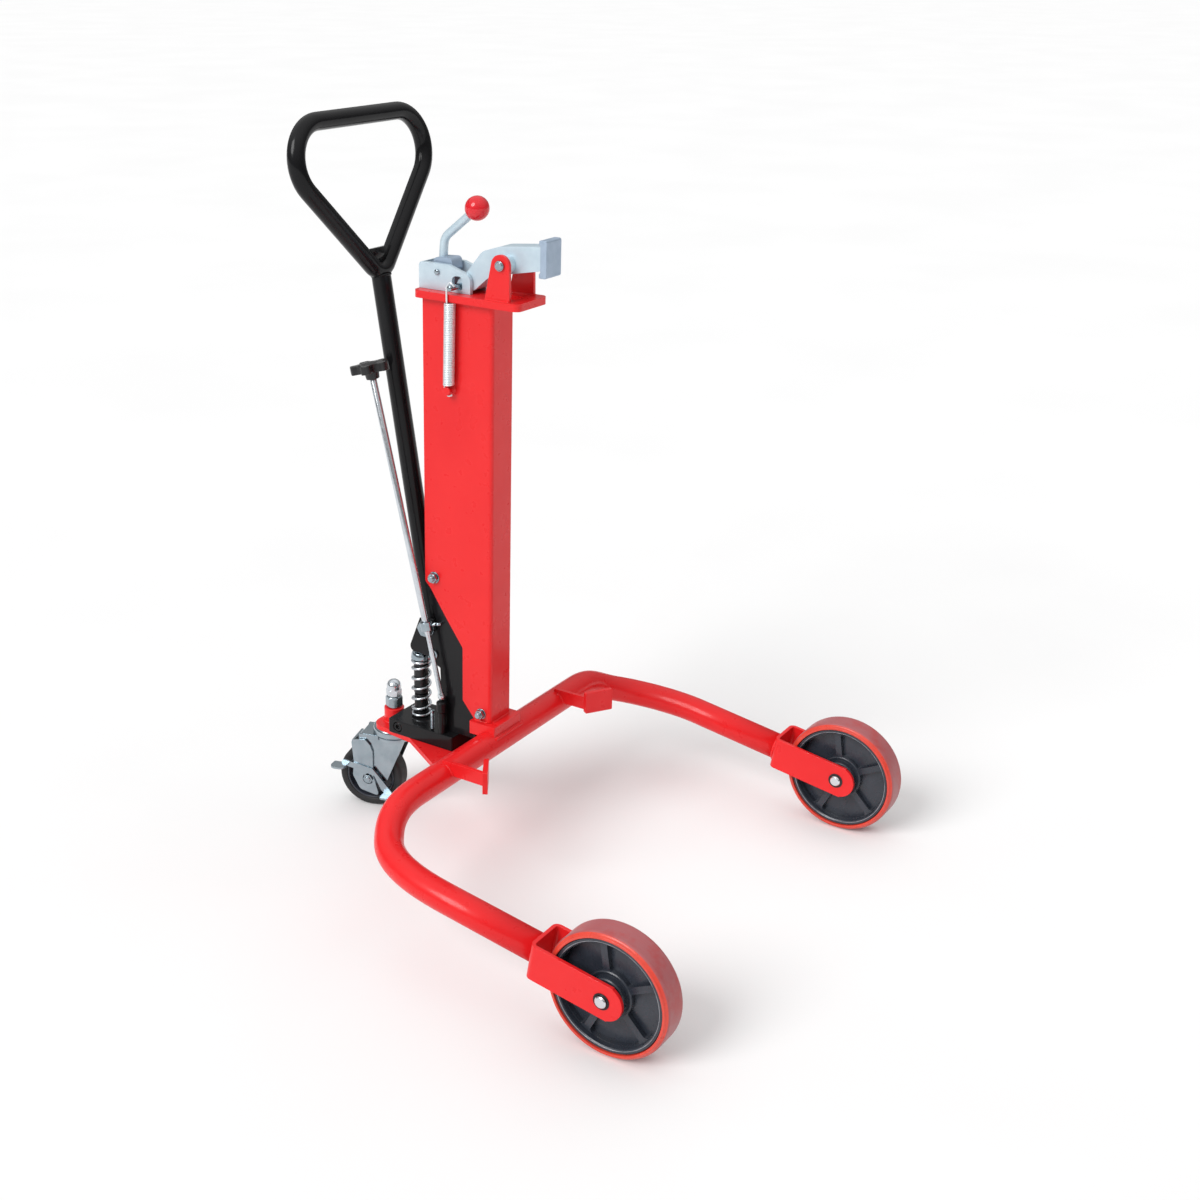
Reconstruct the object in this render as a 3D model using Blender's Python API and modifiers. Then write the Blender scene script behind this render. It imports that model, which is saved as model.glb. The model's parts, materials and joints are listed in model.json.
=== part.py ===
"""Hydraulic drum truck: U-frame on three wheels, channel column, rim clamp and hand pump.

Metres, +Z up. The open side of the U-frame faces -Y, the braked caster is at +Y.
"Truck coordinates" below have y = 0 on the axis of the cross tube and x = 0 in the
plane of symmetry; the truck empty carries them to the middle of the footprint.
"""
import math

import bmesh
import bpy
from mathutils import Matrix, Vector

# ---------------------------------------------------------------- driving dimensions
CROSS_Y = 0.10677           # cross tube axis, from the middle of the footprint
GAP = 0.0003                # clearance between pieces that touch

TUBE_R = 0.021              # U-frame tube
LEG_X = 0.355
LEG_SLOPE = 0.1536          # legs fall towards the front
CROSS_Z = 0.1804
AXLE_Y, AXLE_Z = -0.420, 0.090
LEG_Z_AT_AXLE = 0.087
LEG_END_Y = -0.304
BEND_LEG_Y, BEND_CROSS_X = -0.158, 0.215
CORNER = (0.312, -0.024, 0.150)             # middle of the bend

WHEEL_X, WHEEL_R, WHEEL_W = 0.358, 0.090, 0.045
BRACKET_X, BRACKET_T, BRACKET_H = 0.0323, 0.0055, 0.052
AXLE_R = 0.0085

COL_X, COL_Y, COL_T = 0.0275, 0.1215, 0.004
COL_Z0, COL_Z1 = 0.2130, 0.8556
BASE_TOP = 0.2127

PLATE_X, PLATE_Y0, PLATE_Y1 = 0.0385, -0.0500, 0.1310
PLATE_Z0, PLATE_Z1 = 0.8560, 0.8668

LUG_PIN = Vector((0.0, -0.016, 0.916))
TAIL_PIN = Vector((0.0, 0.0623, 0.8768))
LEVER_PIVOT = Vector((0.0, 0.0980, 0.8930))

PIVOT = Vector((0.0, 0.1090, 0.3000))       # pump handle
ROLLER = Vector((0.0, 0.1515, 0.3000))
HANDLE_LOW = Vector((0.0, 0.1202, 0.3050))
HANDLE_TOP = Vector((0.0, 0.2205, 0.8900))
GRIP_H, GRIP_CORNER_X, GRIP_R = 0.2085, 0.2175, 0.055

RAM_Y, RAM_R, ROD_R = 0.081, 0.0170, 0.0100
BLOCK = (-0.041, 0.041, 0.063, 0.187, 0.1532, 0.1770)

VALVE = Vector((-0.034, 0.087, 0.2366))
ROD_TOP = Vector((-0.0502, 0.1961, 0.7280))

CASTER = Vector((0.0, 0.2066, 0.0))
CASTER_R, CASTER_TRAIL, CASTER_ANGLE = 0.0533, 0.0370, math.radians(107)

RED, BLACK = (0.72, 0.02, 0.02), (0.012, 0.012, 0.013)
ZINC, PALE = (0.66, 0.70, 0.74), (0.62, 0.72, 0.78)

X, Y, Z = Vector((1, 0, 0)), Vector((0, 1, 0)), Vector((0, 0, 1))

# ---------------------------------------------------------------- scene and materials
for ob in list(bpy.data.objects):
    bpy.data.objects.remove(ob, do_unlink=True)

parts = bpy.data.collections.new("drum_truck")
tools = bpy.data.collections.new("cutters")
bpy.context.scene.collection.children.link(parts)
bpy.context.scene.collection.children.link(tools)

truck = bpy.data.objects.new("truck", None)
truck.location = (0.0, CROSS_Y, 0.0)
parts.objects.link(truck)


def material(name, colour, metallic, roughness):
    mat = bpy.data.materials.new(name)
    mat.use_nodes = True
    shader = mat.node_tree.nodes["Principled BSDF"]
    shader.inputs["Base Color"].default_value = (*colour, 1.0)
    shader.inputs["Metallic"].default_value = metallic
    shader.inputs["Roughness"].default_value = roughness
    mat.diffuse_color = (*colour, 1.0)
    return mat


FINISH = {
    "red": (RED, 0.0, 0.3), "black": (BLACK, 0.0, 0.3), "zinc": (ZINC, 1.0, 0.3), "pale": (PALE, 0.6, 0.4),
    "chrome": ((0.8, 0.82, 0.84), 1.0, 0.1), "steel": ((0.35, 0.34, 0.32), 1.0, 0.35),
    "tread": ((0.42, 0.05, 0.04), 0.0, 0.4), "core": ((0.02, 0.022, 0.026), 0.0, 0.45),
    "rubber": ((0.012, 0.012, 0.012), 0.0, 0.7), "plastic": ((0.015, 0.015, 0.016), 0.0, 0.35),
}


# ---------------------------------------------------------------- small helpers
def in_collection(ob, coll):
    for other in list(ob.users_collection):
        other.objects.unlink(ob)
    coll.objects.link(ob)
    return ob


def mesh_object(bm, coll=tools):
    mesh = bpy.data.meshes.new("mesh")
    bmesh.ops.recalc_face_normals(bm, faces=bm.faces)
    bm.to_mesh(mesh)
    bm.free()
    ob = bpy.data.objects.new("piece", mesh)
    coll.objects.link(ob)
    return ob


def baked(ob):
    """The object's evaluated shape as a plain welded mesh in truck coordinates."""
    bpy.context.view_layer.update()
    graph = bpy.context.evaluated_depsgraph_get()
    mesh = bpy.data.meshes.new_from_object(ob.evaluated_get(graph))
    mesh.transform(ob.matrix_world)
    bm = bmesh.new()
    bm.from_mesh(mesh)
    bmesh.ops.remove_doubles(bm, verts=bm.verts, dist=1e-6)
    bm.to_mesh(mesh)
    bm.free()
    new = bpy.data.objects.new("piece", mesh)
    tools.objects.link(new)
    bpy.data.objects.remove(ob, do_unlink=True)
    return new


def boolean(ob, other, operation):
    mod = ob.modifiers.new("cut", "BOOLEAN")
    mod.operation = operation
    mod.solver = "EXACT"
    mod.object = other
    new = baked(ob)
    bpy.data.objects.remove(other, do_unlink=True)
    return new


def cut(ob, *others):
    for other in others:
        ob = boolean(ob, other, "DIFFERENCE")
    return ob


def join(ob, *others):
    for other in others:
        ob = boolean(ob, other, "UNION")
    return ob


def bevelled(ob, width, segments=2, angle=35):
    mod = ob.modifiers.new("bevel", "BEVEL")
    mod.width, mod.segments = width, segments
    mod.limit_method, mod.angle_limit = "ANGLE", math.radians(angle)
    return baked(ob)


def box(x0, x1, y0, y1, z0, z1):
    bm = bmesh.new()
    bmesh.ops.create_cube(bm, size=1.0)
    bmesh.ops.scale(bm, vec=(x1 - x0, y1 - y0, z1 - z0), verts=bm.verts)
    bmesh.ops.translate(bm, vec=((x0 + x1) / 2, (y0 + y1) / 2, (z0 + z1) / 2), verts=bm.verts)
    return mesh_object(bm)


def along(axis):
    """Rotation that takes +Z to the given direction."""
    return Vector(axis).normalized().to_track_quat("Z", "Y").to_matrix().to_4x4()


def rod(radius, start, end, sides=16):
    start, end = Vector(start), Vector(end)
    bm = bmesh.new()
    bmesh.ops.create_cone(bm, cap_ends=True, segments=sides, radius1=radius, radius2=radius,
                          depth=(end - start).length)
    bmesh.ops.transform(bm, matrix=Matrix.Translation((start + end) / 2) @ along(end - start),
                        verts=bm.verts)
    return mesh_object(bm)


def hexagon(flats, start, end):
    return rod(flats / math.sqrt(3), start, end, 6)


def turned(profile, origin=(0, 0, 0), axis=(0, 0, 1), steps=24, closed=False):
    """Screw of an (r, z) profile that runs down the outer side; ends on the axis unless closed."""
    bm = bmesh.new()
    verts = [bm.verts.new((r, 0.0, z)) for r, z in profile]
    for a, b in zip(verts, verts[1:]):
        bm.edges.new((a, b))
    if closed:
        bm.edges.new((verts[-1], verts[0]))
    mesh = bpy.data.meshes.new("profile")
    bm.to_mesh(mesh)
    bm.free()
    ob = bpy.data.objects.new("piece", mesh)
    tools.objects.link(ob)
    mod = ob.modifiers.new("screw", "SCREW")
    mod.steps = mod.render_steps = steps
    mod.use_merge_vertices = True
    mod.merge_threshold = 1e-5
    ob = baked(ob)
    ob.data.transform(Matrix.Translation(origin) @ along(axis))
    return ob


def arc(centre, radius, a0, a1, steps):
    """Points on an arc, angles in degrees."""
    return [(centre[0] + radius * math.cos(math.radians(a0 + (a1 - a0) * k / steps)),
             centre[1] + radius * math.sin(math.radians(a0 + (a1 - a0) * k / steps)))
            for k in range(steps + 1)]


def rounded(corners, radius, steps=3):
    """Closed 2D outline with every corner rounded; radius is one number or one per corner."""
    out, count = [], len(corners)
    for k, corner in enumerate(corners):
        r = radius[k] if isinstance(radius, (list, tuple)) else radius
        p, a, b = Vector(corner), Vector(corners[k - 1]), Vector(corners[(k + 1) % count])
        u, v = (a - p).normalized(), (b - p).normalized()
        half = u.angle(v) / 2
        if r <= 0 or abs(half - math.pi / 2) < 1e-3:
            out.append(tuple(p))
            continue
        reach = r / math.tan(half)
        centre = p + (u + v).normalized() * (r / math.sin(half))
        start, end = p + u * reach - centre, p + v * reach - centre
        turn = start.angle_signed(end)
        for s in range(steps + 1):
            a0 = -turn * s / steps
            out.append((centre.x + start.x * math.cos(a0) - start.y * math.sin(a0),
                        centre.y + start.x * math.sin(a0) + start.y * math.cos(a0)))
    return out


def hull(circles, steps=20):
    """Convex outline around circles given as (a, b, radius)."""
    pts = sorted({(round(a + r * math.cos(math.tau * k / steps), 7),
                   round(b + r * math.sin(math.tau * k / steps), 7))
                  for a, b, r in circles for k in range(steps if r > 0 else 1)})

    def half(points):
        chain = []
        for p in points:
            while len(chain) > 1 and ((chain[-1][0] - chain[-2][0]) * (p[1] - chain[-2][1])
                                      - (chain[-1][1] - chain[-2][1]) * (p[0] - chain[-2][0])) <= 1e-12:
                chain.pop()
            chain.append(p)
        return chain[:-1]

    return half(pts) + half(pts[::-1])


def extruded(outline, low, high, plane="YZ", holes=()):
    """Flat outline, filled and given thickness between low and high across its plane."""
    curve = bpy.data.curves.new("outline", "CURVE")
    curve.dimensions, curve.fill_mode = "2D", "BOTH"
    curve.extrude = (high - low) / 2
    for points in (outline, *holes):
        spline = curve.splines.new("POLY")
        spline.points.add(len(points) - 1)
        for target, (a, b) in zip(spline.points, points):
            target.co = (a, b, 0.0, 1.0)
        spline.use_cyclic_u = True
    ob = bpy.data.objects.new("piece", curve)
    tools.objects.link(ob)
    ob = baked(ob)
    turn = {"XY": Matrix.Identity(4),
            "YZ": Matrix(((0, 0, 1, 0), (1, 0, 0, 0), (0, 1, 0, 0), (0, 0, 0, 1))),
            "XZ": Matrix(((1, 0, 0, 0), (0, 0, -1, 0), (0, 1, 0, 0), (0, 0, 0, 1)))}[plane]
    middle = (low + high) / 2
    normal = {"XY": Z, "YZ": X, "XZ": Y}[plane]
    ob.data.transform(Matrix.Translation(normal * middle) @ turn)
    return ob


def tube(points, radius, resolution=4, cyclic=False):
    curve = bpy.data.curves.new("path", "CURVE")
    curve.dimensions = "3D"
    curve.bevel_depth, curve.bevel_resolution = radius, resolution
    curve.use_fill_caps = not cyclic
    spline = curve.splines.new("POLY")
    spline.points.add(len(points) - 1)
    for target, p in zip(spline.points, points):
        target.co = (*p, 1.0)
    spline.use_cyclic_u = cyclic
    ob = bpy.data.objects.new("piece", curve)
    tools.objects.link(ob)
    return baked(ob)


def bent(points, radius, steps=6, cyclic=False):
    """A path through straight runs with an arc of the given radius at each corner."""
    points = [Vector(p) for p in points]
    out, last = [], len(points) - 1
    for k, p in enumerate(points):
        if not cyclic and k in (0, last):
            out.append(p)
            continue
        r = radius[k] if isinstance(radius, (list, tuple)) else radius
        a, b = points[k - 1], points[(k + 1) % len(points)]
        u, v = (a - p).normalized(), (b - p).normalized()
        half = u.angle(v) / 2
        centre = p + (u + v).normalized() * (r / math.sin(half))
        start, end = p + u * (r / math.tan(half)), p + v * (r / math.tan(half))
        sweep = (start - centre).angle(end - centre)
        for s in range(steps + 1):
            w = s / steps
            out.append(centre + ((start - centre) * math.sin((1 - w) * sweep)
                                 + (end - centre) * math.sin(w * sweep)) / math.sin(sweep))
    return out


def cubic(p0, p1, p2, p3, steps):
    out = []
    for k in range(steps + 1):
        t = k / steps
        out.append(p0 * (1 - t) ** 3 + p1 * 3 * t * (1 - t) ** 2 + p2 * 3 * t * t * (1 - t) + p3 * t ** 3)
    return out


def mirrored(ob):
    copy = ob.copy()
    copy.data = ob.data.copy()
    tools.objects.link(copy)
    copy.data.transform(Matrix.Scale(-1, 4, X))
    copy.data.flip_normals()
    return copy


def finish(ob, name, look, origin=(0, 0, 0)):
    """Name the part, give it its material and put its origin where it belongs."""
    origin = Vector(origin)
    ob.name = name
    ob.data.name = name
    colour, metallic, roughness = FINISH[look]
    ob.data.materials.clear()
    ob.data.materials.append(material(name, colour, metallic, roughness))
    ob.data.transform(Matrix.Translation(-origin))
    in_collection(ob, parts)
    ob.parent = truck
    ob.location = origin
    ob.data.shade_smooth()
    ob.data.set_sharp_from_angle(angle=math.radians(35))
    return ob


def pair(ob, name, look, origin=(0, 0, 0)):
    """The given piece on the +X side and its mirror image on the -X side."""
    other = mirrored(ob)
    o = Vector(origin)
    finish(ob, name + "_right", look, o)
    finish(other, name + "_left", look, (-o.x, o.y, o.z))


def leg_z(y):
    return LEG_Z_AT_AXLE + LEG_SLOPE * (y - AXLE_Y)


# ---------------------------------------------------------------- U-frame
leg = Vector((0, 1, LEG_SLOPE))
turn = Vector((-math.cos(0.66), math.sin(0.66), 0.30))
b0 = Vector((LEG_X, BEND_LEG_Y, leg_z(BEND_LEG_Y)))
b1 = Vector(CORNER)
b2 = Vector((BEND_CROSS_X, 0.0, CROSS_Z))
bend = cubic(b0, b0 + leg * 0.046, b1 - turn * 0.040, b1, 6)
bend += cubic(b1, b1 + turn * 0.040, b2 + X * 0.050, b2, 6)[1:]
right = [Vector((LEG_X, LEG_END_Y, leg_z(LEG_END_Y)))] + bend
left = [Vector((-p.x, p.y, p.z)) for p in reversed(right)]
run = right + left
bore = [run[0] - leg * 0.01] + run[1:-1] + [run[-1] - leg * 0.01]
finish(cut(tube(run, TUBE_R, 4), tube(bore, TUBE_R - 0.003, 2)), "u_frame_tube", "red", (0, 0, CROSS_Z))

# fork brackets: a strap bent round the back of each front wheel
tilt = math.atan(LEG_SLOPE)
centre = Vector((WHEEL_X, AXLE_Y, AXLE_Z))


def tilted(ob):
    ob.data.transform(Matrix.Translation(centre) @ Matrix.Rotation(tilt, 4, "X"))
    return ob


back, half_h = 0.1145, BRACKET_H / 2
side = ([(back, -half_h), (back, half_h), (-0.012, half_h)] + arc((-0.004, 0.0), 0.026, 108, 252, 8)
        + [(-0.012, -half_h)])
plan = rounded([(BRACKET_X, -0.04), (BRACKET_X, back), (-BRACKET_X, back), (-BRACKET_X, -0.04)],
               [0, 0.010, 0.010, 0])
inner = rounded([(BRACKET_X - BRACKET_T, -0.06), (BRACKET_X - BRACKET_T, back - BRACKET_T),
                 (-BRACKET_X + BRACKET_T, back - BRACKET_T), (-BRACKET_X + BRACKET_T, -0.06)],
                [0, 0.0045, 0.0045, 0])
strap = boolean(extruded(plan, -0.04, 0.04, "XY"), extruded(side, -0.05, 0.05, "YZ"), "INTERSECT")
strap = cut(strap, extruded(inner, -0.06, 0.06, "XY"),
            rod(AXLE_R + GAP, (-0.05, 0, 0), (0.05, 0, 0), 32))
pair(tilted(strap), "fork_bracket", "red", centre)

axle_end = BRACKET_X + 0.0045
axle = turned([(0, axle_end), (AXLE_R - 0.001, axle_end), (AXLE_R, axle_end - 0.001),
               (AXLE_R, -axle_end + 0.001), (AXLE_R - 0.001, -axle_end), (0, -axle_end)],
              centre, X, 20)
pair(axle, "axle_pin", "chrome", centre)

# ---------------------------------------------------------------- front wheels
wheel_c = centre
hw = WHEEL_W / 2
core_r = 0.0815
tread = [(core_r + GAP, hw - 0.0015), (0.0856, hw)]
tread += [(WHEEL_R - 0.007 + a, hw - 0.0095 + b) for a, b in arc((0, 0), 0.0070, 62, 0, 2)]
tread += [(r, -z) for r, z in reversed(tread)]
ob = turned(tread, wheel_c, X, 36, closed=True)
pair(ob, "front_tread", "tread", wheel_c)

rim = [(core_r, hw - 0.0025), (core_r, -hw + 0.0025), (core_r - 0.006, -hw + 0.0025),
       (core_r - 0.006, hw - 0.0025)]
hub = [(0.0260, 0.0215), (0.0260, -0.0215), (0.0125, -0.0215), (0.0125, 0.0215)]
web = [(core_r - 0.004, 0.0035), (core_r - 0.004, -0.0035), (0.020, -0.0035), (0.020, 0.0035)]
core = join(turned(rim, axis=X, steps=36, closed=True), turned(web, axis=X, steps=36, closed=True),
            turned(hub, axis=X, steps=20, closed=True))
for k in range(5):
    spoke = box(-0.0124, 0.0124, -0.0050, 0.0050, 0.022, core_r - 0.002)
    spoke.data.transform(Matrix.Rotation(math.tau * k / 5 - math.radians(9), 4, "X"))
    core = join(core, spoke)
core.data.transform(Matrix.Translation(wheel_c))
pair(core, "front_core", "core", wheel_c)
bearing = turned([(0.0122, 0.0235), (0.0122, -0.0235), (AXLE_R + 0.0002, -0.0235),
                  (AXLE_R + 0.0002, 0.0235)], wheel_c, X, 20, closed=True)
pair(bearing, "front_bearing", "zinc", wheel_c)

# ---------------------------------------------------------------- drum stops
stop_c = Vector((0.156, -0.0804, 0.2034))
stop = bevelled(box(-0.0235, 0.0235, -0.0038, 0.0038, -0.0175, 0.0175), 0.0015, 2)
facing = Vector((0, -0.328, stop_c.z)) - stop_c
stop.data.transform(Matrix.Translation(stop_c)
                    @ Matrix.Rotation(math.atan2(facing.y, facing.x) + math.pi / 2, 4, "Z"))
arm = box(0.1485, 0.1545, -0.0790, -0.0020, 0.1850, 0.2060)
stop = cut(join(stop, arm), rod(TUBE_R + GAP, (0.1, 0, CROSS_Z), (0.2, 0, CROSS_Z), 44))
pair(stop, "drum_stop", "red", stop_c)

# ---------------------------------------------------------------- column and its foot
foot = box(-0.036, 0.036, -0.0130, 0.0340, CROSS_Z + 0.012, BASE_TOP)
foot = cut(bevelled(foot, 0.0015), rod(TUBE_R + GAP, (-0.06, 0, CROSS_Z), (0.06, 0, CROSS_Z), 44))
finish(foot, "column_foot", "red", (0, 0, CROSS_Z))

channel = rounded([(-COL_X, COL_Y), (-COL_X, 0), (COL_X, 0), (COL_X, COL_Y), (COL_X - COL_T, COL_Y),
                   (COL_X - COL_T, COL_T), (COL_T - COL_X, COL_T), (COL_T - COL_X, COL_Y)],
                  [0, 0.006, 0.006, 0, 0, 0.002, 0.002, 0])
column = extruded(channel, COL_Z0, COL_Z1, "XY")
away = [(0.0310, 0.150), (0.0310, COL_Z0 + 0.001), (0.0521, 0.2393), (0.0522, 0.3262), (0.0837, 0.3696),
        (0.1115, 0.4105), (0.1240, 0.4230), (0.1700, 0.4230), (0.1700, 0.150)]
UPPER_BOLT, LOWER_BOLT = (0.1036, 0.4298), (0.0170, 0.2262)
column = cut(column, extruded(away, -0.05, 0.05, "YZ"),
             rod(0.0053, (-0.05, *UPPER_BOLT), (0.05, *UPPER_BOLT)),
             rod(0.0053, (-0.05, *LOWER_BOLT), (0.05, *LOWER_BOLT)))
finish(column, "column", "red", (0, 0, BASE_TOP))

stud = turned([(0, 0.0135), (0.0062, 0.0135), (0.0062, 0.0115), (0.0038, 0.0115), (0.0038, 0.003),
               (0.0075, 0.003), (0.0075, 0), (0, 0)], (-COL_X - GAP, 0.0706, 0.7270), -X, 20)
finish(stud, "spring_stud", "red", (-COL_X, 0.0706, 0.7270))

# ---------------------------------------------------------------- rear base and caster boss
rear = rounded([(-0.118, 0.014), (-0.088, 0.067), (-0.040, 0.146), (-0.030, 0.2290), (0.030, 0.2290),
                (0.040, 0.146), (0.088, 0.067), (0.118, 0.014)],
               [0, 0.01, 0.01, 0.020, 0.020, 0.01, 0.01, 0])
rear = extruded(rear, 0.1450, 0.1530, "XY", holes=[arc((0, CASTER.y), 0.0120, 0, 337.5, 15)])
rear = cut(rear, rod(TUBE_R + GAP, (-0.15, 0, CROSS_Z), (0.15, 0, CROSS_Z), 44))
boss = turned([(0.0160, 0.1765), (0.0160, 0.1455), (0.0083, 0.1455), (0.0083, 0.1765)],
              (0, CASTER.y, 0), Z, 24, closed=True)
boss = cut(boss, box(-0.05, 0.05, 0.10, BLOCK[3] + GAP, 0.1, 0.2))
finish(join(rear, boss), "rear_base_plate", "red", (0, CASTER.y, 0.149))

# ---------------------------------------------------------------- pump unit
bx0, bx1, by0, by1, bz0, bz1 = BLOCK
block = bevelled(box(*BLOCK), 0.0015, 1)
plug_at = (by1 - 0.018, bz0 + 0.0125)
block = cut(block, rod(0.0083, (bx0 - 0.01, *plug_at), (bx0 + 0.008, *plug_at), 20))
finish(block, "pump_block", "black", (0, (by0 + by1) / 2, bz0))
plug = turned([(0, 0.0035), (0.0038, 0.0035), (0.0038, 0.0075), (0.0070, 0.0070), (0.0080, 0.0055),
               (0.0080, 0), (0, 0)], (bx0 + 0.0080 - GAP, *plug_at), -X, 20)
finish(plug, "block_plug", "black", (bx0, *plug_at))

outer_x = COL_X - COL_T - GAP
inner_x = outer_x - 0.0040
outline = [(0.0120, 0.2135), (0.0345, 0.2135), (0.0345, bz1 + GAP), (0.0800, bz1 + GAP), (0.0845, 0.2450),
           (0.0870, 0.2800)] + arc((PIVOT.y, PIVOT.z), 0.0120, -60, 40, 6)
outline += [(0.1010, 0.3480), (0.1143, 0.3880), (0.1190, 0.4150), (0.1190, 0.4420), (0.0900, 0.4420),
            (0.0120, 0.3000)]
cheek = cut(extruded(outline, inner_x, outer_x, "YZ"),
            rod(0.0053, (0, *UPPER_BOLT), (0.05, *UPPER_BOLT)),
            rod(0.0053, (0, *LOWER_BOLT), (0.05, *LOWER_BOLT)),
            rod(0.0053, (0, PIVOT.y, PIVOT.z), (0.05, PIVOT.y, PIVOT.z)))
pair(cheek, "pump_cheek", "black", (outer_x, 0.09, 0.3))


def through_bolt(name, at, reach, head=0.017):
    """Bolt across the truck with a washer face and a hexagon at each end."""
    ends = reach + 0.0018
    bolt = rod(0.0050, (-reach - 0.012, *at), (reach + 0.012, *at))
    for s in (-1, 1):
        bolt = join(bolt, rod(head * 0.62, (s * (reach + GAP), *at), (s * ends, *at)),
                    hexagon(head, (s * (ends - 0.0002), *at), (s * (ends + 0.0065), *at)))
    finish(bolt, name, "zinc", (0, *at))


through_bolt("column_bolt_upper", UPPER_BOLT, COL_X, 0.014)
through_bolt("column_bolt_lower", LOWER_BOLT, COL_X, 0.013)

ram = cut(turned([(0, 0.5600), (RAM_R - 0.0015, 0.5600), (RAM_R, 0.5585), (RAM_R, bz1 + GAP),
                  (0, bz1 + GAP)], (0, RAM_Y, 0), Z, 28),
          rod(ROD_R + GAP, (0, RAM_Y, 0.4000), (0, RAM_Y, 0.6000), 24))
finish(ram, "ram_cylinder", "steel", (0, RAM_Y, bz1))
ram_rod = rod(ROD_R, (0, RAM_Y, 0.4020), (0, RAM_Y, PLATE_Z0 - GAP), 24)
finish(ram_rod, "ram_rod", "chrome", (0, RAM_Y, PLATE_Z0))

barrel_y = ROLLER.y
barrel = cut(rod(0.0110, (0, barrel_y, bz1 + GAP), (0, barrel_y, 0.2150), 24),
             rod(0.0073, (0, barrel_y, 0.1800), (0, barrel_y, 0.2300), 20))
finish(barrel, "pump_barrel", "black", (0, barrel_y, bz1))
CAP_TOP = ROLLER.z - 0.0125 - GAP
plunger = turned([(0, CAP_TOP), (0.0120, CAP_TOP), (0.0148, CAP_TOP - 0.0025), (0.0160, CAP_TOP - 0.0120),
                  (0.0070, CAP_TOP - 0.0120), (0.0070, 0.2060), (0, 0.2060)], (0, barrel_y, 0), Z, 24)
finish(plunger, "pump_plunger", "zinc", (0, barrel_y, CAP_TOP))
coils, wire, z0, z1 = 6.5, 0.0019, bz1 + 0.0024, CAP_TOP - 0.0120 - 0.0024
path = [(0.0142 * math.cos(math.tau * k / 10), barrel_y + 0.0142 * math.sin(math.tau * k / 10),
         z0 + (z1 - z0) * k / (10 * coils)) for k in range(int(10 * coils) + 1)]
finish(tube(path, wire, 1), "pump_spring", "zinc", (0, barrel_y, z0))

# release valve and its long rod
valve = turned([(0, 0.2312), (0.0050, 0.2312), (0.0085, 0.2280), (0.0085, 0.2140), (0.0068, 0.2120),
                (0.0068, 0.2040), (0.0062, 0.2020), (0.0062, bz1 + GAP), (0, bz1 + GAP)],
               (VALVE.x, VALVE.y, 0), Z, 20)
finish(valve, "release_valve", "black", (VALVE.x, VALVE.y, bz1))
rings = [(0, bz1 + 0.0340), (0.0030, bz1 + 0.0340)]
for k in range(3):
    z = bz1 + 0.0320 - 0.0100 * k
    rings += [(0.0034, z), (0.0034, z - 0.0060), (0.0026, z - 0.0070), (0.0026, z - 0.0090)]
rings += [(0.0026, bz1 + GAP), (0, bz1 + GAP)]
finish(turned(rings, (-0.0345, 0.1050, 0), Z, 10), "relief_screw", "zinc", (-0.0345, 0.1050, bz1))

lean = ROD_TOP - VALVE
length = lean.length
release = turned([(0, length), (0.0050, length), (0.0050, 0.1060), (0.0040, 0.1040), (0.0040, 0.0080),
                  (0.0050, 0.0060), (0.0055, 0.0020), (0.0040, -0.0020), (0, -0.0034)], VALVE, lean, 16)
finish(release, "release_rod", "zinc", VALVE)

collar_at = VALVE + lean * (0.1180 / length)
guide = turned([(0.0090, 0.0065), (0.0090, -0.0065), (0.0056, -0.0065), (0.0056, 0.0065)],
               collar_at, lean, 20, closed=True)
pin_yz = (0.0940, collar_at.z + 0.004)
bar = tube(bent([collar_at + Vector((0.0060, -0.0045, 0.0)), collar_at + Vector((0.0090, -0.0120, 0.003)),
                 Vector((-outer_x - 0.0080, *pin_yz)), Vector((-outer_x - GAP, *pin_yz))], 0.003, 3), 0.0028, 2)
guide = join(guide, bar)
finish(guide, "rod_guide", "zinc", collar_at)

unit = lean.normalized()
knob_at = ROD_TOP + unit * GAP


def star(arms, reach_r, waist, half_width):
    out = []
    for k in range(arms):
        mid = 360 / arms * k
        spread = math.degrees(math.asin(half_width / reach_r))
        out += [(reach_r * math.cos(math.radians(mid + d)), reach_r * math.sin(math.radians(mid + d)))
                for d in (-spread, 0, spread)]
        out.append((waist * math.cos(math.radians(mid + 180 / arms)),
                    waist * math.sin(math.radians(mid + 180 / arms))))
    return out


knob = extruded(star(5, 0.0310, 0.0150, 0.0070), 0.0110, 0.0245, "XY")
knob = join(knob, rod(0.0110, (0, 0, 0), (0, 0, 0.0200), 20))
knob.data.transform(Matrix.Translation(knob_at) @ along(unit) @ Matrix.Rotation(math.radians(14), 4, "Z"))
finish(knob, "release_knob", "plastic", knob_at)

# ---------------------------------------------------------------- pump handle
axis = (HANDLE_TOP - HANDLE_LOW).normalized()
socket_top = HANDLE_LOW + axis * 0.0480
socket = extruded(hull([(PIVOT.y, PIVOT.z, 0.0095), (ROLLER.y, ROLLER.z, 0.0095),
                        (socket_top.y - 0.0145, socket_top.z + 0.0025, 0.0),
                        (socket_top.y + 0.0145, socket_top.z - 0.0025, 0.0)]), -0.0165, 0.0165, "YZ")
bolt_at = (HANDLE_LOW + axis * 0.0340).yz
socket = cut(socket, box(-0.0085, 0.0085, 0.1360, 0.1800, 0.2700, 0.3150),
             rod(0.0053, (-0.03, PIVOT.y, PIVOT.z), (0.03, PIVOT.y, PIVOT.z)),
             rod(0.0043, (-0.03, ROLLER.y, ROLLER.z), (0.03, ROLLER.y, ROLLER.z), 20),
             rod(0.0065, (-0.03, *bolt_at), (0.03, *bolt_at), 20))
finish(socket, "handle_socket", "black", PIVOT)
socket_bolt = rod(0.0060, (-0.0290, *bolt_at), (0.0290, *bolt_at), 20)
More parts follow.
